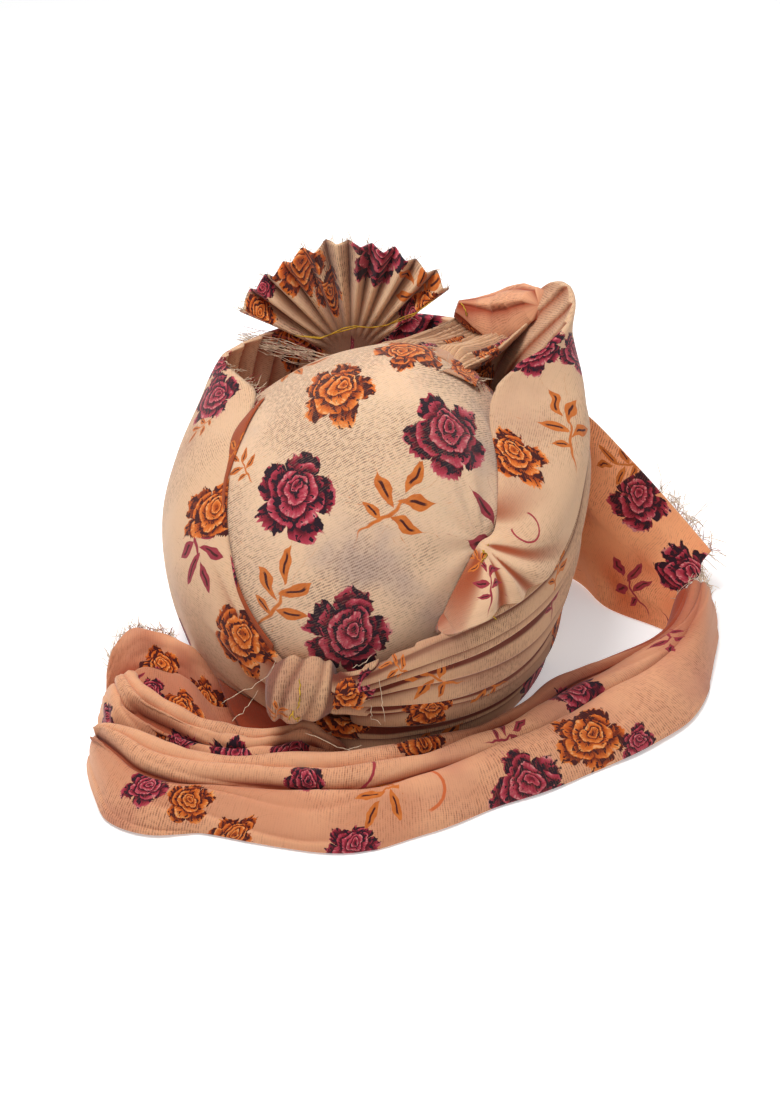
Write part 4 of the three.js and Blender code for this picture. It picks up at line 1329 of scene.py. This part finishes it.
def roll():
    """Rings along the middle line, grooved by pleats of the angle that turn slowly along the way."""
    u, v = grid(120, 131)
    line = roll_line(u)
    run = np.gradient(line, axis=0)
    side = np.cross(run, np.array([0, 0, 1.0]))
    side /= np.linalg.norm(side, axis=-1, keepdims=True)
    rise = np.cross(side, run)
    rise /= np.linalg.norm(rise, axis=-1, keepdims=True)
    angle = v * 2 * math.pi
    groove = pleats(v * 5 + 0.5 * u)
    radius = ROLL_RADIUS * read(ROLL, "thick", u) * (0.78 + 0.22 * groove)
    points = line + side * (radius * np.cos(angle))[..., None] + rise * (radius * np.sin(angle))[..., None]
    cloth = np.stack([v * ROLL_ROUND, u * ROLL_LENGTH], -1)
    # Painted shade in the grooves and towards the roll's thin start.
    return bundle("roll_cloth", points, cloth, (1 - groove) ** 1.5 * 0.95 + smooth((0.4 - u) * 3) * 0.5)


roll_piece = roll()
place_print(roll_piece, table(FLOWER, [(ORANGE_ROSE, 462, 340, 16, 0, 41)]), lattice=False)
dress(roll_piece, TAIL_CLOTH, ["roll"])

# %% [markdown]
# Between the crown's top and the roll lies more of the same band. It is one sheet, tucked under the crown's
# edge and under the roll, and gathered so that its pleats run from the one to the other.

# %% Gathered layer between the crown and the roll
LAYER_FROM, LAYER_TO, LAYER_LEVEL = 112, 22, 0.92 * CROWN_HEIGHT
LAYER_TUCK, LAYER_UNDER_ROLL, LAYER_SAG = -0.002, 0.008, 0.006


def gathered_layer():
    """A sheet from inside the crown's top back to the underside of the roll, gathered along both."""
    u, v = grid(60, 260)
    near = on_crown(mix(LAYER_FROM, LAYER_TO, v), LAYER_LEVEL, LAYER_TUCK)
    far = roll_line(np.clip(v * 1.25 - 0.2, 0, 1)) - np.array([0, 0, LAYER_UNDER_ROLL])
    ridges = pleats(v * 17 + 0.5 * np.sin(u * 3) + 0.3 * np.sin(v * 19))
    points = mix(near, far, u[..., None])
    uneven = wrinkle(u * 5, v * 24, 131) * 0.0014 + wrinkle(u * 3, v * 11, 132) * 0.0022
    points[..., 2] += (ridges * 0.0046 * smooth(1.4 - u) + uneven) * smooth(u * 5)
    points[..., 2] -= np.sin(math.pi * u) * LAYER_SAG
    # Painted shade between the ridges, deeper towards the end by the fan.
    return sheet_shell("gathered_layer", points, np.clip((1 - ridges) ** 2 * 0.8 + 0.35 * (1 - v), 0, 1))


layer_piece = gathered_layer()
place_print(layer_piece, table(FLOWER, [
    (ORANGE_ROSE, 486, 348, 26, 0, 82), (WINE_ROSE, 428, 340, 24, 0, 83), (ORANGE_ROSE, 454, 336, 20, 60, 84),
    (WINE_ROSE, 505, 335, 20, 0, 85),
]), lattice=False)
dress(layer_piece, BAND_CLOTH, [])

# %% [markdown]
# ## The tail on the surface
# The tail leaves the turns at the back on the right, drops to the surface, runs round the front in long
# pleats and comes back inside itself to the knot. The pleats lean over each other, so their section is a
# curve and not a height over the surface: a short table gives how far out and how high it goes.

# %% Tail loop and return
LOOP = table("azimuth inner outer high", [
    (-143, 0.72, 0.80, 1.0), (-140, 0.67, 0.86, 1.2), (-136, 0.60, 0.93, 1.25), (-131, 0.52, 1.0, 1.15),
    (-125, 0.42, 0.94, 1.05), (-119, 0.34, 0.78, 1.0), (-110, 0.20, 0.71, 1.0), (-94, 0.04, 0.68, 1.0),
    (-81, -0.05, 0.53, 0.95), (-68, -0.09, 0.44, 0.9), (-57, -0.12, 0.455, 0.85), (-44, -0.12, 0.54, 0.85),
    (-34, -0.09, 0.65, 0.9), (-26, 0.02, 0.76, 0.95), (-18, 0.18, 0.80, 1.05), (-9, 0.44, 0.81, 1.25),
    (2, 0.60, 0.85, 1.35),
])
RETURN = table("azimuth inner outer high", [
    (-154, 0.36, 0.54, 0.7), (-150, 0.36, 0.61, 1.25), (-146, 0.38, 0.66, 1.45), (-138, 0.30, 0.80, 1.25),
    (-129, 0.17, 0.80, 0.9), (-121, 0.04, 0.80, 0.75), (-112, -0.10, 0.80, 0.95), (-104, -0.13, 0.80, 1.1),
    (-97, -0.12, 0.80, 1.05),
])
SECTION = table("along out lift", [
    (0.0, 0.02, 0.10), (0.08, 0.0, 0.55), (0.15, 0.07, 0.86), (0.20, 0.15, 0.90), (0.26, 0.21, 0.72),
    (0.31, 0.20, 0.62), (0.37, 0.25, 0.80), (0.43, 0.34, 0.98), (0.49, 0.43, 0.90), (0.54, 0.46, 0.74),
    (0.58, 0.455, 0.66), (0.64, 0.53, 0.78), (0.71, 0.66, 0.76), (0.80, 0.82, 0.55), (0.90, 0.95, 0.26),
    (1.0, 1.0, 0.045),
])


LOOP_FROM, LOOP_TO = -143, 2
RETURN_FROM, RETURN_TO = -154, -97
RETURN_GAP = 0.0012


def strip(name, rows, start, end, outer_limit, relief, size, closing=0.0):
    """A strip laid round the front: its section is the table of out and lift between the inner and the
    outer edge, with the pleats drifting slowly across it along the way. Beside the back stretch the pleats
    open into one flat bow."""
    u, v = grid(*size)
    azimuth = mix(start, end, v)
    inner = TAIL_REACH * read(rows, "inner", azimuth)
    outer = np.minimum(TAIL_REACH * read(rows, "outer", azimuth), outer_limit(azimuth))
    near_end = closing * smooth((v - 0.75) * 4)
    high = TAIL_HEIGHT * read(rows, "high", azimuth) * (1 - 0.75 * near_end)
    drift = u + 0.022 * np.sin(azimuth / 13) * np.sin(math.pi * u)
    out = read(SECTION, "out", drift)
    lift = read(SECTION, "lift", drift)
    opened = 0.85 * smooth((azimuth + 32) / 24)
    out = mix(out, u, opened)
    lift = mix(lift, 0.75 * np.sin(math.pi * u) ** 0.7 + 0.03 * np.sin(11 * u + azimuth / 9), opened)
    base = beside(azimuth, mix(inner, outer, out), high * lift)
    bump = relief(u, v)
    points = base + normals(base) * bump[..., None] * -1
    off_the_floor(points)
    # Painted shade: in the low inner part of the pleats, towards a closing end, over the flat bow, and where
    # the relief sinks.
    valley = np.clip((0.86 - lift) * 1.2, 0, 1) * (1 - smooth((u - 0.56) * 6))
    hollow = 0.35 * smooth((0.0004 - bump) / 0.0022)
    return sheet_shell(name, points, np.clip(valley * 1.9 + near_end * 0.8 + opened * 0.42 + hollow, 0, 1))


def long_creases(u, v, seed):
    """Thin pleats along the strip that wander across it, each stronger in some stretches than in others."""
    strength = np.clip(0.5 + wrinkle(u * 6, v * 11, seed + 3), 0, 1)
    return pleats(u * 6.5 + 0.8 * np.sin(v * 7 + seed) + 0.3 * np.sin(v * 17)) * strength


def tail_relief(seed):
    """Small wrinkles, and long shallow creases along the strip."""
    def relief(u, v):
        long = wrinkle(u * 26, v * 7, seed) * 0.0008 + long_creases(u, v, seed) * 0.0016
        return long + wrinkle(u * 7, v * 34, seed + 1) * 0.0011 + wrinkle(u * 4, v * 12, seed + 2) * 0.0020
    return relief


loop_piece = strip(
    "tail_loop_cloth", LOOP, LOOP_FROM, LOOP_TO, flat(1.0), tail_relief(91), (90, 420))
place_print(loop_piece, table(FLOWER, [
    (WINE_ROSE, 573, 688, 32, 0, 42), (WINE_SPRIG, 512, 730, 26, -60, 43), (ORANGE_ROSE, 590, 736, 34, 0, 44),
    (ORANGE_ROSE, 424, 746, 30, 0, 45), (WINE_ROSE, 530, 787, 36, 0, 46),
    (ORANGE_SPRIG, 385, 796, 34, 160, 47), (ORANGE_TENDRIL, 420, 786, 30, 0, 48),
    (WINE_TENDRIL, 352, 768, 30, 0, 49), (WINE_ROSE, 145, 785, 20, 0, 50),
    (ORANGE_ROSE, 190, 800, 22, 0, 51), (WINE_ROSE, 304, 786, 22, 0, 52), (ORANGE_ROSE, 226, 838, 22, 0, 53),
    (WINE_ROSE, 352, 851, 22, 0, 54), (WINE_ROSE, 640, 740, 18, 0, 55), (WINE_SPRIG, 672, 640, 26, 180, 56),
]), seed=16, lattice=False)
dress(loop_piece, TAIL_CLOTH, ["tail_loop"])

return_piece = strip(
    "tail_return_cloth", RETURN, RETURN_FROM, RETURN_TO,
    lambda azimuth: TAIL_REACH * read(LOOP, "inner", azimuth) - RETURN_GAP, tail_relief(95), (70, 190),
    closing=1.0)
place_print(return_piece, table(FLOWER, [
    (WINE_ROSE, 229, 757, 30, 0, 57), (WINE_ROSE, 290, 757, 26, 0, 58), (ORANGE_ROSE, 164, 759, 20, 0, 59),
    (WINE_ROSE, 104, 720, 18, 0, 60), (WINE_ROSE, 180, 742, 20, 0, 61),
]), seed=17, lattice=False)
dress(return_piece, TAIL_CLOTH, ["tail_return"])

# %% [markdown]
# ## The back stretch and the short end
# The back stretch is one sheet that hangs from behind the right turn down to the surface with its weight
# in soft ripples. The short end is the cloth's other end: it arches up beside the left turn and opens
# like a sleeve.

# %% Back stretch
BACK = table("along out side top foot_out foot_side", [
    (0.0, -0.27, 1.06, 1.0, -0.4, 0.84), (0.2, 0.0, 0.82, 0.97, 0.0, 0.54), (0.5, 0.4, 0.72, 0.68, 0.2, 0.2),
    (0.8, 0.75, 0.62, 0.4, 0.52, -0.02), (1.0, 0.97, 0.45, 0.25, 0.78, -0.2),
])


def back_stretch():
    """Between an upper edge and an edge on the surface, with ripples and a sag that grows outwards."""
    u, v = grid(110, 230)
    out = BACK_REACH * mix(read(BACK, "foot_out", v), read(BACK, "out", v), u)
    y = BACK_REACH * mix(read(BACK, "foot_side", v), read(BACK, "side", v), u)
    belly = np.sin(math.pi * u)
    ripple = 0.003 * np.sin(u * 6 * math.pi) - 0.008 * v
    soft = wrinkle(u * 6, v * 10, 101) * 0.002 + wrinkle(u * 14, v * 14, 102) * 0.0009
    z = mix(0.0, BACK_HEIGHT * read(BACK, "top", v), u)
    points = vector(RIM_HALF_WIDTH + WALL_SPREAD + out + belly * ripple, y, z)
    points = points + normals(points) * (soft * smooth(u * 6) * smooth((1 - u) * 8))[..., None]
    off_the_floor(points)
    # Painted shade, deeper towards the surface and varying with the soft wrinkles.
    return sheet_shell("tail_back_cloth", points, np.clip(0.3 - soft * 240 - 0.2 * u, 0, 1))


back_piece = back_stretch()
place_print(back_piece, table(FLOWER, [
    (ORANGE_SPRIG, 618, 466, 28, 90, 62), (WINE_ROSE, 641, 500, 34, 0, 63), (WINE_ROSE, 690, 575, 42, 20, 64),
    (WINE_SPRIG, 620, 580, 34, 30, 65), (ORANGE_ROSE, 706, 622, 20, 0, 66),
    (WINE_SPRIG, 671, 643, 24, 200, 67),
]), seed=18)
dress(back_piece, BACK_CLOTH, ["tail_back"])

# %% Short end
END = table("along out side low high", [
    (0.0, -0.6, -1.14, 0.05, 0.4), (0.15, -0.42, -1.14, 0.05, 0.52), (0.35, -0.22, -1.04, 0.3, 0.78),
    (0.55, 0.0, -0.95, 0.5, 0.86), (0.75, 0.26, -0.9, 0.4, 0.95), (0.92, 0.47, -0.95, 0.0, 0.66),
    (1.0, 0.54, -1.04, 0.0, 0.26),
])


def short_end():
    """An arched sheet between a low and a high edge, leaning back a little."""
    u, v = grid(80, 200)
    x = -(RIM_HALF_WIDTH + WALL_SPREAD) - END_REACH * read(END, "out", v)
    y = END_REACH * read(END, "side", v) + (u - 0.5) * 0.014
    soft = wrinkle(u * 5, v * 16, 111) * 0.0016 + wrinkle(u * 12, v * 22, 112) * 0.0006
    z = END_HEIGHT * mix(read(END, "low", v), read(END, "high", v), u) + 0.0016
    points = vector(x, y + soft, z)
    off_the_floor(points)
    # Painted shade, deeper towards the low edge and varying with the wrinkles.
    return sheet_shell("short_end_cloth", points, np.clip(0.8 - u * 0.7 - soft * 150, 0, 1))


FOOT = table("along right down", [
    (0, 108, 742), (0.3, 150, 752), (0.55, 210, 758), (0.8, 262, 752), (1, 296, 744),
])
ARCH_ROW = 8


def inner_layer():
    """A sheet from under the arch of the short end, and from the turns beside it, down to a line behind the
    tail's pleats."""
    u, v = grid(50, 120)
    arch = PIECES["short_end_cloth"]["face"][ARCH_ROW, ::-1] - AXIS
    beyond = on_wall(np.linspace(-142, -108, 60), np.full(60, 0.02), -0.001)
    arch = np.concatenate([arch, beyond])
    share = 0.02 + 0.98 * v[0]
    top = np.stack([np.interp(share, np.linspace(0, 1, len(arch)), arch[:, k]) for k in range(3)], -1)
    pixels = zip(read(FOOT, "right", v[0]), read(FOOT, "down", v[0]))
    feet = np.stack([floor_at(right, down) for right, down in pixels]) - AXIS
    points = mix(top[None], feet[None], u[..., None])
    sag = np.sin(math.pi * u) * (0.006 + 0.004 * wrinkle(u * 3, v * 14, 116))
    sag = sag + wrinkle(u * 8, v * 20, 117) * 0.0008
    points[..., 2] = points[..., 2] - sag + 0.004 * u * (1 - u)
    off_the_floor(points)
    # Painted shade, deeper towards the surface and towards the turns.
    return sheet_shell("short_end_inner", points, np.clip(0.4 + 0.5 * u + 0.6 * smooth((v - 0.6) * 3), 0, 1))


end_piece = short_end()
inner_piece = inner_layer()
place_print(inner_piece, table(FLOWER, [
    (WINE_ROSE, 150, 690, 18, 0, 76), (ORANGE_ROSE, 182, 706, 22, 0, 77), (WINE_SPRIG, 128, 690, 18, 0, 78),
]), lattice=False)
dress(inner_piece, TAIL_CLOTH, [])
place_print(end_piece, table(FLOWER, [
    (ORANGE_ROSE, 150, 690, 26, 0, 68), (WINE_ROSE, 156, 668, 16, 0, 69), (ORANGE_ROSE, 208, 700, 26, 0, 70),
]), seed=19)
dress(end_piece, TAIL_CLOTH, ["short_end"])

# %% [markdown]
# ## Small strips of cloth
# Two narrow strips show on the crown: the second fold inside the left turn, in painted deep orange shade, and
# a frayed patch below the peak, in lighter painted shade. Both lie on the crown, so they follow its surface.

# %% Strips on the crown
def crown_strip(name, start, end, low, high, lift, size, painted_shade, seed):
    """A strip on the crown between two heights that are functions of the azimuth, a little off it."""
    u, v = grid(*size)
    azimuth = mix(start, end, v)
    z = mix(low(azimuth), high(azimuth), u)
    out = lift * (1 - 0.5 * u) + wrinkle(u * 5, v * 18, seed) * 0.0006
    return sheet_shell(name, on_crown(azimuth, z, out), painted_shade + 0 * u, edge=0.05)


FOLD_FROM, FOLD_TO, FOLD_LIFT, FOLD_TUCK = 170, 240, 0.0026, 0.006
PATCH_FROM, PATCH_TO, PATCH_LIFT = 8, 62, 0.0035
left_top = column_of(LEFT, "high", WALL_HEIGHT)

# Painted shade: 1 over the whole left fold strip and 0.45 over the frayed patch.
left_strip = crown_strip(
    "left_turn_fold", FOLD_FROM, FOLD_TO, lambda azimuth: left_top(azimuth) - FOLD_TUCK,
    lambda azimuth: left_top(azimuth) + 0.0012 + 0.0022 * np.sin((azimuth - FOLD_FROM) / 9),
    FOLD_LIFT, (16, 130), 1.0, 121)
place_print(left_strip, table(FLOWER, [
    (ORANGE_SPRIG, 238, 440, 22, 0, 73), (WINE_ROSE, 236, 560, 20, 0, 74),
]), lattice=False)
dress(left_strip, TURN_CLOTH, [])

patch_piece = crown_strip(
    "frayed_patch", PATCH_FROM, PATCH_TO,
    lambda azimuth: CROWN_HEIGHT * (0.885 + 0.016 * np.sin(azimuth / 6)),
    lambda azimuth: CROWN_HEIGHT * (0.958 + 0.012 * np.sin(azimuth / 5)),
    PATCH_LIFT, (40, 90), 0.45, 122)
place_print(patch_piece, table(FLOWER, [
    (ORANGE_ROSE, 468, 368, 26, 0, 71), (ORANGE_ROSE, 494, 380, 26, 40, 75), (WINE_ROSE, 512, 372, 18, 0, 72),
]), lattice=False)
dress(patch_piece, TURN_CLOTH, [])

# %% [markdown]
# ## Frayed edges and loose threads
# The cloth's raw edges fray, and ends of sewing thread hang at the knot, the fan and the gather. A thread
# is a thin three-sided tube along a row of points. All threads of one colour are one mesh.

# %% Threads
STEPS = 12


def strands(name, lines, radius, material):
    """Threads in one mesh from an array of rows of points, tapered at both ends."""
    run = np.gradient(lines, axis=1)
    run /= np.maximum(np.linalg.norm(run, axis=-1, keepdims=True), 1e-9)
    side = np.cross(run, np.array([0.3, 0.5, 0.81]))
    side /= np.maximum(np.linalg.norm(side, axis=-1, keepdims=True), 1e-9)
    rise = np.cross(run, side)
    turn = np.arange(4) * 2 * math.pi / 3
    thick = (radius * (0.4 + 0.6 * rounded(np.linspace(0, 1, lines.shape[1]), 0.15)))[None, :, None, None]
    round_it = side[:, :, None] * np.cos(turn)[:, None] + rise[:, :, None] * np.sin(turn)[:, None]
    points = lines[:, :, None] + round_it * thick
    index = np.arange(points[..., 0].size).reshape(points.shape[:3])
    index[..., 3] = index[..., 0]
    walls = [index[:, :-1, :-1], index[:, 1:, :-1], index[:, 1:, 1:], index[:, :-1, 1:]]
    faces = [np.stack(walls, -1).reshape(-1, 4), index[:, 0, :3], index[:, -1, 2::-1]]
    uvs = [np.zeros((*f.shape, 2)) for f in faces]
    piece = mesh_object(name, points.reshape(-1, 3), faces, uvs, 0 * points[..., 0])
    piece.data.materials.append(material)
    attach(piece, "root")
    print(name, "threads:", len(lines))
    return piece


def fray(edge, inner, count, length, seed, spread=0.45, droop=0.35):
    """Threads that start on an edge and run away from its inner neighbour, bent at random and by weight."""
    random = np.random.default_rng(seed)
    at = random.uniform(0, len(edge) - 1.001, count)
    low = at.astype(int)
    start = mix(edge[low], edge[low + 1], (at - low)[:, None])[:, None]
    out = (edge - inner)[low]
    out = (out / np.maximum(np.linalg.norm(out, axis=-1, keepdims=True), 1e-9))[:, None]
    along = (edge[low + 1] - edge[low])
    along = (along / np.maximum(np.linalg.norm(along, axis=-1, keepdims=True), 1e-9))[:, None]
    reach = length * random.uniform(0.25, 1, (count, 1, 1))
    t = np.linspace(0, 1, STEPS)[None, :, None]
    lines = start + reach * (t * out + t * along * random.normal(0, 0.5, (count, 1, 1)))
    lines = lines + reach * t**2 * (random.normal(0, spread, (count, 1, 3)) - np.array([0, 0, droop]))
    lines[..., 2] = np.maximum(lines[..., 2], 0.0004)
    return lines


def spot(name, right, down, lift=0.001):
    """The point of a piece's face that shows at a pixel, moved a little towards the camera."""
    face = PIECES[name]["face"]
    point = face.reshape(-1, 3)[nearest_shown(picture(face), right, down)]
    toward = eye - point
    return point + toward / np.linalg.norm(toward) * lift


def route(points, seed, waver=0.0006):
    """A thread through a few points, with a slight random waver."""
    points = np.array(points)
    share = np.linspace(0, len(points) - 1, STEPS)
    line = np.stack([np.interp(share, np.arange(len(points)), points[:, k]) for k in range(3)], -1)
    random = np.random.default_rng(seed)
    bend = np.cumsum(random.normal(0, waver, (STEPS, 3)), 0) * np.sin(np.linspace(0, math.pi, STEPS))[:, None]
    return line + bend


def thread_material(name, colour):
    """Thread: one dye with a little noise in it."""
    material, tree, surface = new_material(name)
    deep = tuple(0.6 * c for c in colour[:3]) + (1.0,)
    dyed = blend(tree, object_noise(tree, scale=300, detail=2).ramp(0.35, 0.65), deep, colour)
    tree.links.new(dyed, surface.inputs["Base Color"])
    surface.inputs["Roughness"].default_value = 0.8
    return material


back_face, end_face = PIECES["tail_back_cloth"]["face"], PIECES["short_end_cloth"]["face"]
left_face, fan_face = PIECES["left_turn_cloth"]["face"], PIECES["fan_cloth"]["face"]
patch_face, loop_face = PIECES["frayed_patch"]["face"], PIECES["tail_loop_cloth"]["face"]
cream_lines = [
    fray(back_face[-1, 150:], back_face[-6, 150:], 70, 0.013, 201),
    fray(back_face[55:, -1], back_face[55:, -6], 40, 0.009, 202),
    fray(end_face[-1, 95:], end_face[-6, 95:], 90, 0.006, 203),
    fray(loop_face[:, -1], loop_face[:, -6], 70, 0.007, 209),
    fray(left_face[-1, :45], left_face[-6, :45], 36, 0.005, 204, droop=0.0),
    fray(fan_face[0, ::4], fan_face[4, ::4], 90, 0.0035, 205, droop=0.0),
    fray(fan_face[20:66, 0], fan_face[20:66, 4], 60, 0.012, 206),
    fray(patch_face[0], patch_face[4], 90, 0.007, 207, droop=0.1),
    fray(patch_face[-1], patch_face[-5], 60, 0.007, 208, droop=0.1),
]
wine_lines = [
    fray(back_face[-1, 170:], back_face[-6, 170:], 36, 0.007, 211),
    fray(end_face[-1, 95:160], end_face[-6, 95:160], 30, 0.005, 212),
    fray(patch_face[0], patch_face[4], 60, 0.006, 213, droop=0.1),
    fray(left_face[-1, :45], left_face[-6, :45], 14, 0.006, 214, droop=0.0),
]

# %% [markdown]
# The loose ends at the knot and the brush of threads between the fan and the crown hang in the air, so
# they are placed by their pixels and their distance from the camera. The yellow tie and the stitches lie
# on the cloth.

# %% Loose ends, tie and stitches
STRIP_FROM, STRIP_TO = np.array([240.0, 336.0]), np.array([336.0, 362.0])
STRIP_THREADS = 34
random = np.random.default_rng(216)
fan_depth = picture(spot("fan_cloth", 340, 345)[None])[0, 2]
KNOT_THREADS = table("right down right2 down2", [
    (221, 704, 276, 660), (379, 679, 385, 722), (371, 705, 381, 725), (305, 733, 362, 745),
    (352, 668, 372, 655), (258, 690, 232, 722),
])
knot_depth = picture(spot("knot_cloth", 300, 690)[None])[0, 2]
for n, (a, b, c, d) in enumerate(zip(*KNOT_THREADS.values())):
    middle = in_air((a + c) / 2, (b + d) / 2 + 4, knot_depth - 0.004)
    ends = [in_air(a, b, knot_depth - 0.001), middle, in_air(c, d, knot_depth - 0.002)]
    cream_lines.append(route(ends, 220 + n)[None])
for n in range(STRIP_THREADS):
    a, b = STRIP_FROM + random.normal(0, 4, 2), STRIP_TO + random.normal(0, 3, 2)
    halfway = (a + b) / 2 + random.normal(0, 3, 2)
    depths = fan_depth - 0.004 + random.uniform(-0.004, 0.002, 3)
    ends = [in_air(*a, depths[0]), in_air(*halfway, depths[1]), in_air(*b, depths[2])]
    lines = cream_lines if n % 6 else wine_lines
    lines.append(route(ends, 300 + n, 0.0009)[None])
FAN_TIE = table("right down", [(293, 345), (325, 339), (348, 330), (378, 330), (416, 323), (448, 311)])
tie = [spot("fan_cloth", a, b, 0.003) for a, b in zip(*FAN_TIE.values())]
yellow_lines = [route(tie, 230)[None], route(tie, 231, 0.0009)[None]]
STITCHED = ["knot_cloth", "knot_cloth", "knot_cloth", "right_turn_cloth", "right_turn_cloth",
            "lower_turn_cloth_4", "roll_cloth"]
STITCHES = table("right down right2 down2", [
    (297, 676, 299, 712), (293, 714, 284, 728), (292, 714, 300, 730), (480, 552, 492, 541),
    (484, 548, 478, 560), (488, 620, 500, 622), (458, 300, 464, 312),
])
for n, (name, a, b, c, d) in enumerate(zip(STITCHED, *STITCHES.values())):
    ends = [spot(name, a, b), spot(name, (a + c) / 2, (b + d) / 2), spot(name, c, d)]
    yellow_lines.append(route(ends, 240 + n)[None])
cream = thread_material("cream thread", dye(0.93, 0.82, 0.70))
wine = thread_material("wine thread", dye(0.62, 0.22, 0.22))
yellow = thread_material("yellow thread", dye(0.84, 0.66, 0.16))
cream_threads = strands("cream_threads", np.concatenate(cream_lines), 0.00018, cream)
wine_threads = strands("wine_threads", np.concatenate(wine_lines), 0.00016, wine)
yellow_threads = strands("yellow_threads", np.concatenate(yellow_lines), 0.0004, yellow)

# %% [markdown]

# %% [markdown]
# ## Floor and light
# A plain pale floor and large soft lights, as in a shop photograph. The lights are wide so that the folds
# shade softly.

# %% Floor, lights and world
floor_mesh = bpy.data.meshes.new("floor")
FLOOR = 4.0
corners = [(-FLOOR, -FLOOR, 0), (FLOOR, -FLOOR, 0), (FLOOR, FLOOR, 0), (-FLOOR, FLOOR, 0)]
floor_mesh.from_pydata(corners, [], [(0, 1, 2, 3)])
floor = bpy.data.objects.new("floor", floor_mesh)
scene.collection.objects.link(floor)
WHITE = (1, 1, 1, 1)
paper, _, paper_surface = new_material("paper")
set_inputs(paper_surface, {
    "Base Color": dye(0.97, 0.97, 0.97), "Roughness": 0.9, "Emission Color": WHITE, "Emission Strength": 0.3})
floor_mesh.materials.append(paper)


def area_light(name, place, size, power):
    """A square soft light at a place, turned to the turban."""
    light = bpy.data.lights.new(name, "AREA")
    light.size = size
    light.energy = power
    lamp = bpy.data.objects.new(name, light)
    lamp.location = place
    aim = (AXIS + np.array([0, 0, 0.06])) - np.array(place)
    tilt = math.acos(-aim[2] / np.linalg.norm(aim))
    lamp.rotation_euler = (tilt, 0, math.atan2(aim[1], aim[0]) - math.pi / 2)
    scene.collection.objects.link(lamp)


area_light("key", (-0.34, 0.0, 1.3), 0.55, 13.8)
area_light("fill", (0.3, -1.3, 0.9), 1.2, 2.5)
area_light("rim", (0.3, 0.9, 1.0), 1.0, 4)
world = bpy.data.worlds.new("world")
world.use_nodes = True
set_inputs(world.node_tree.nodes["Background"], {"Color": WHITE, "Strength": 0.31})
scene.world = world
scene.view_settings.view_transform = "Standard"
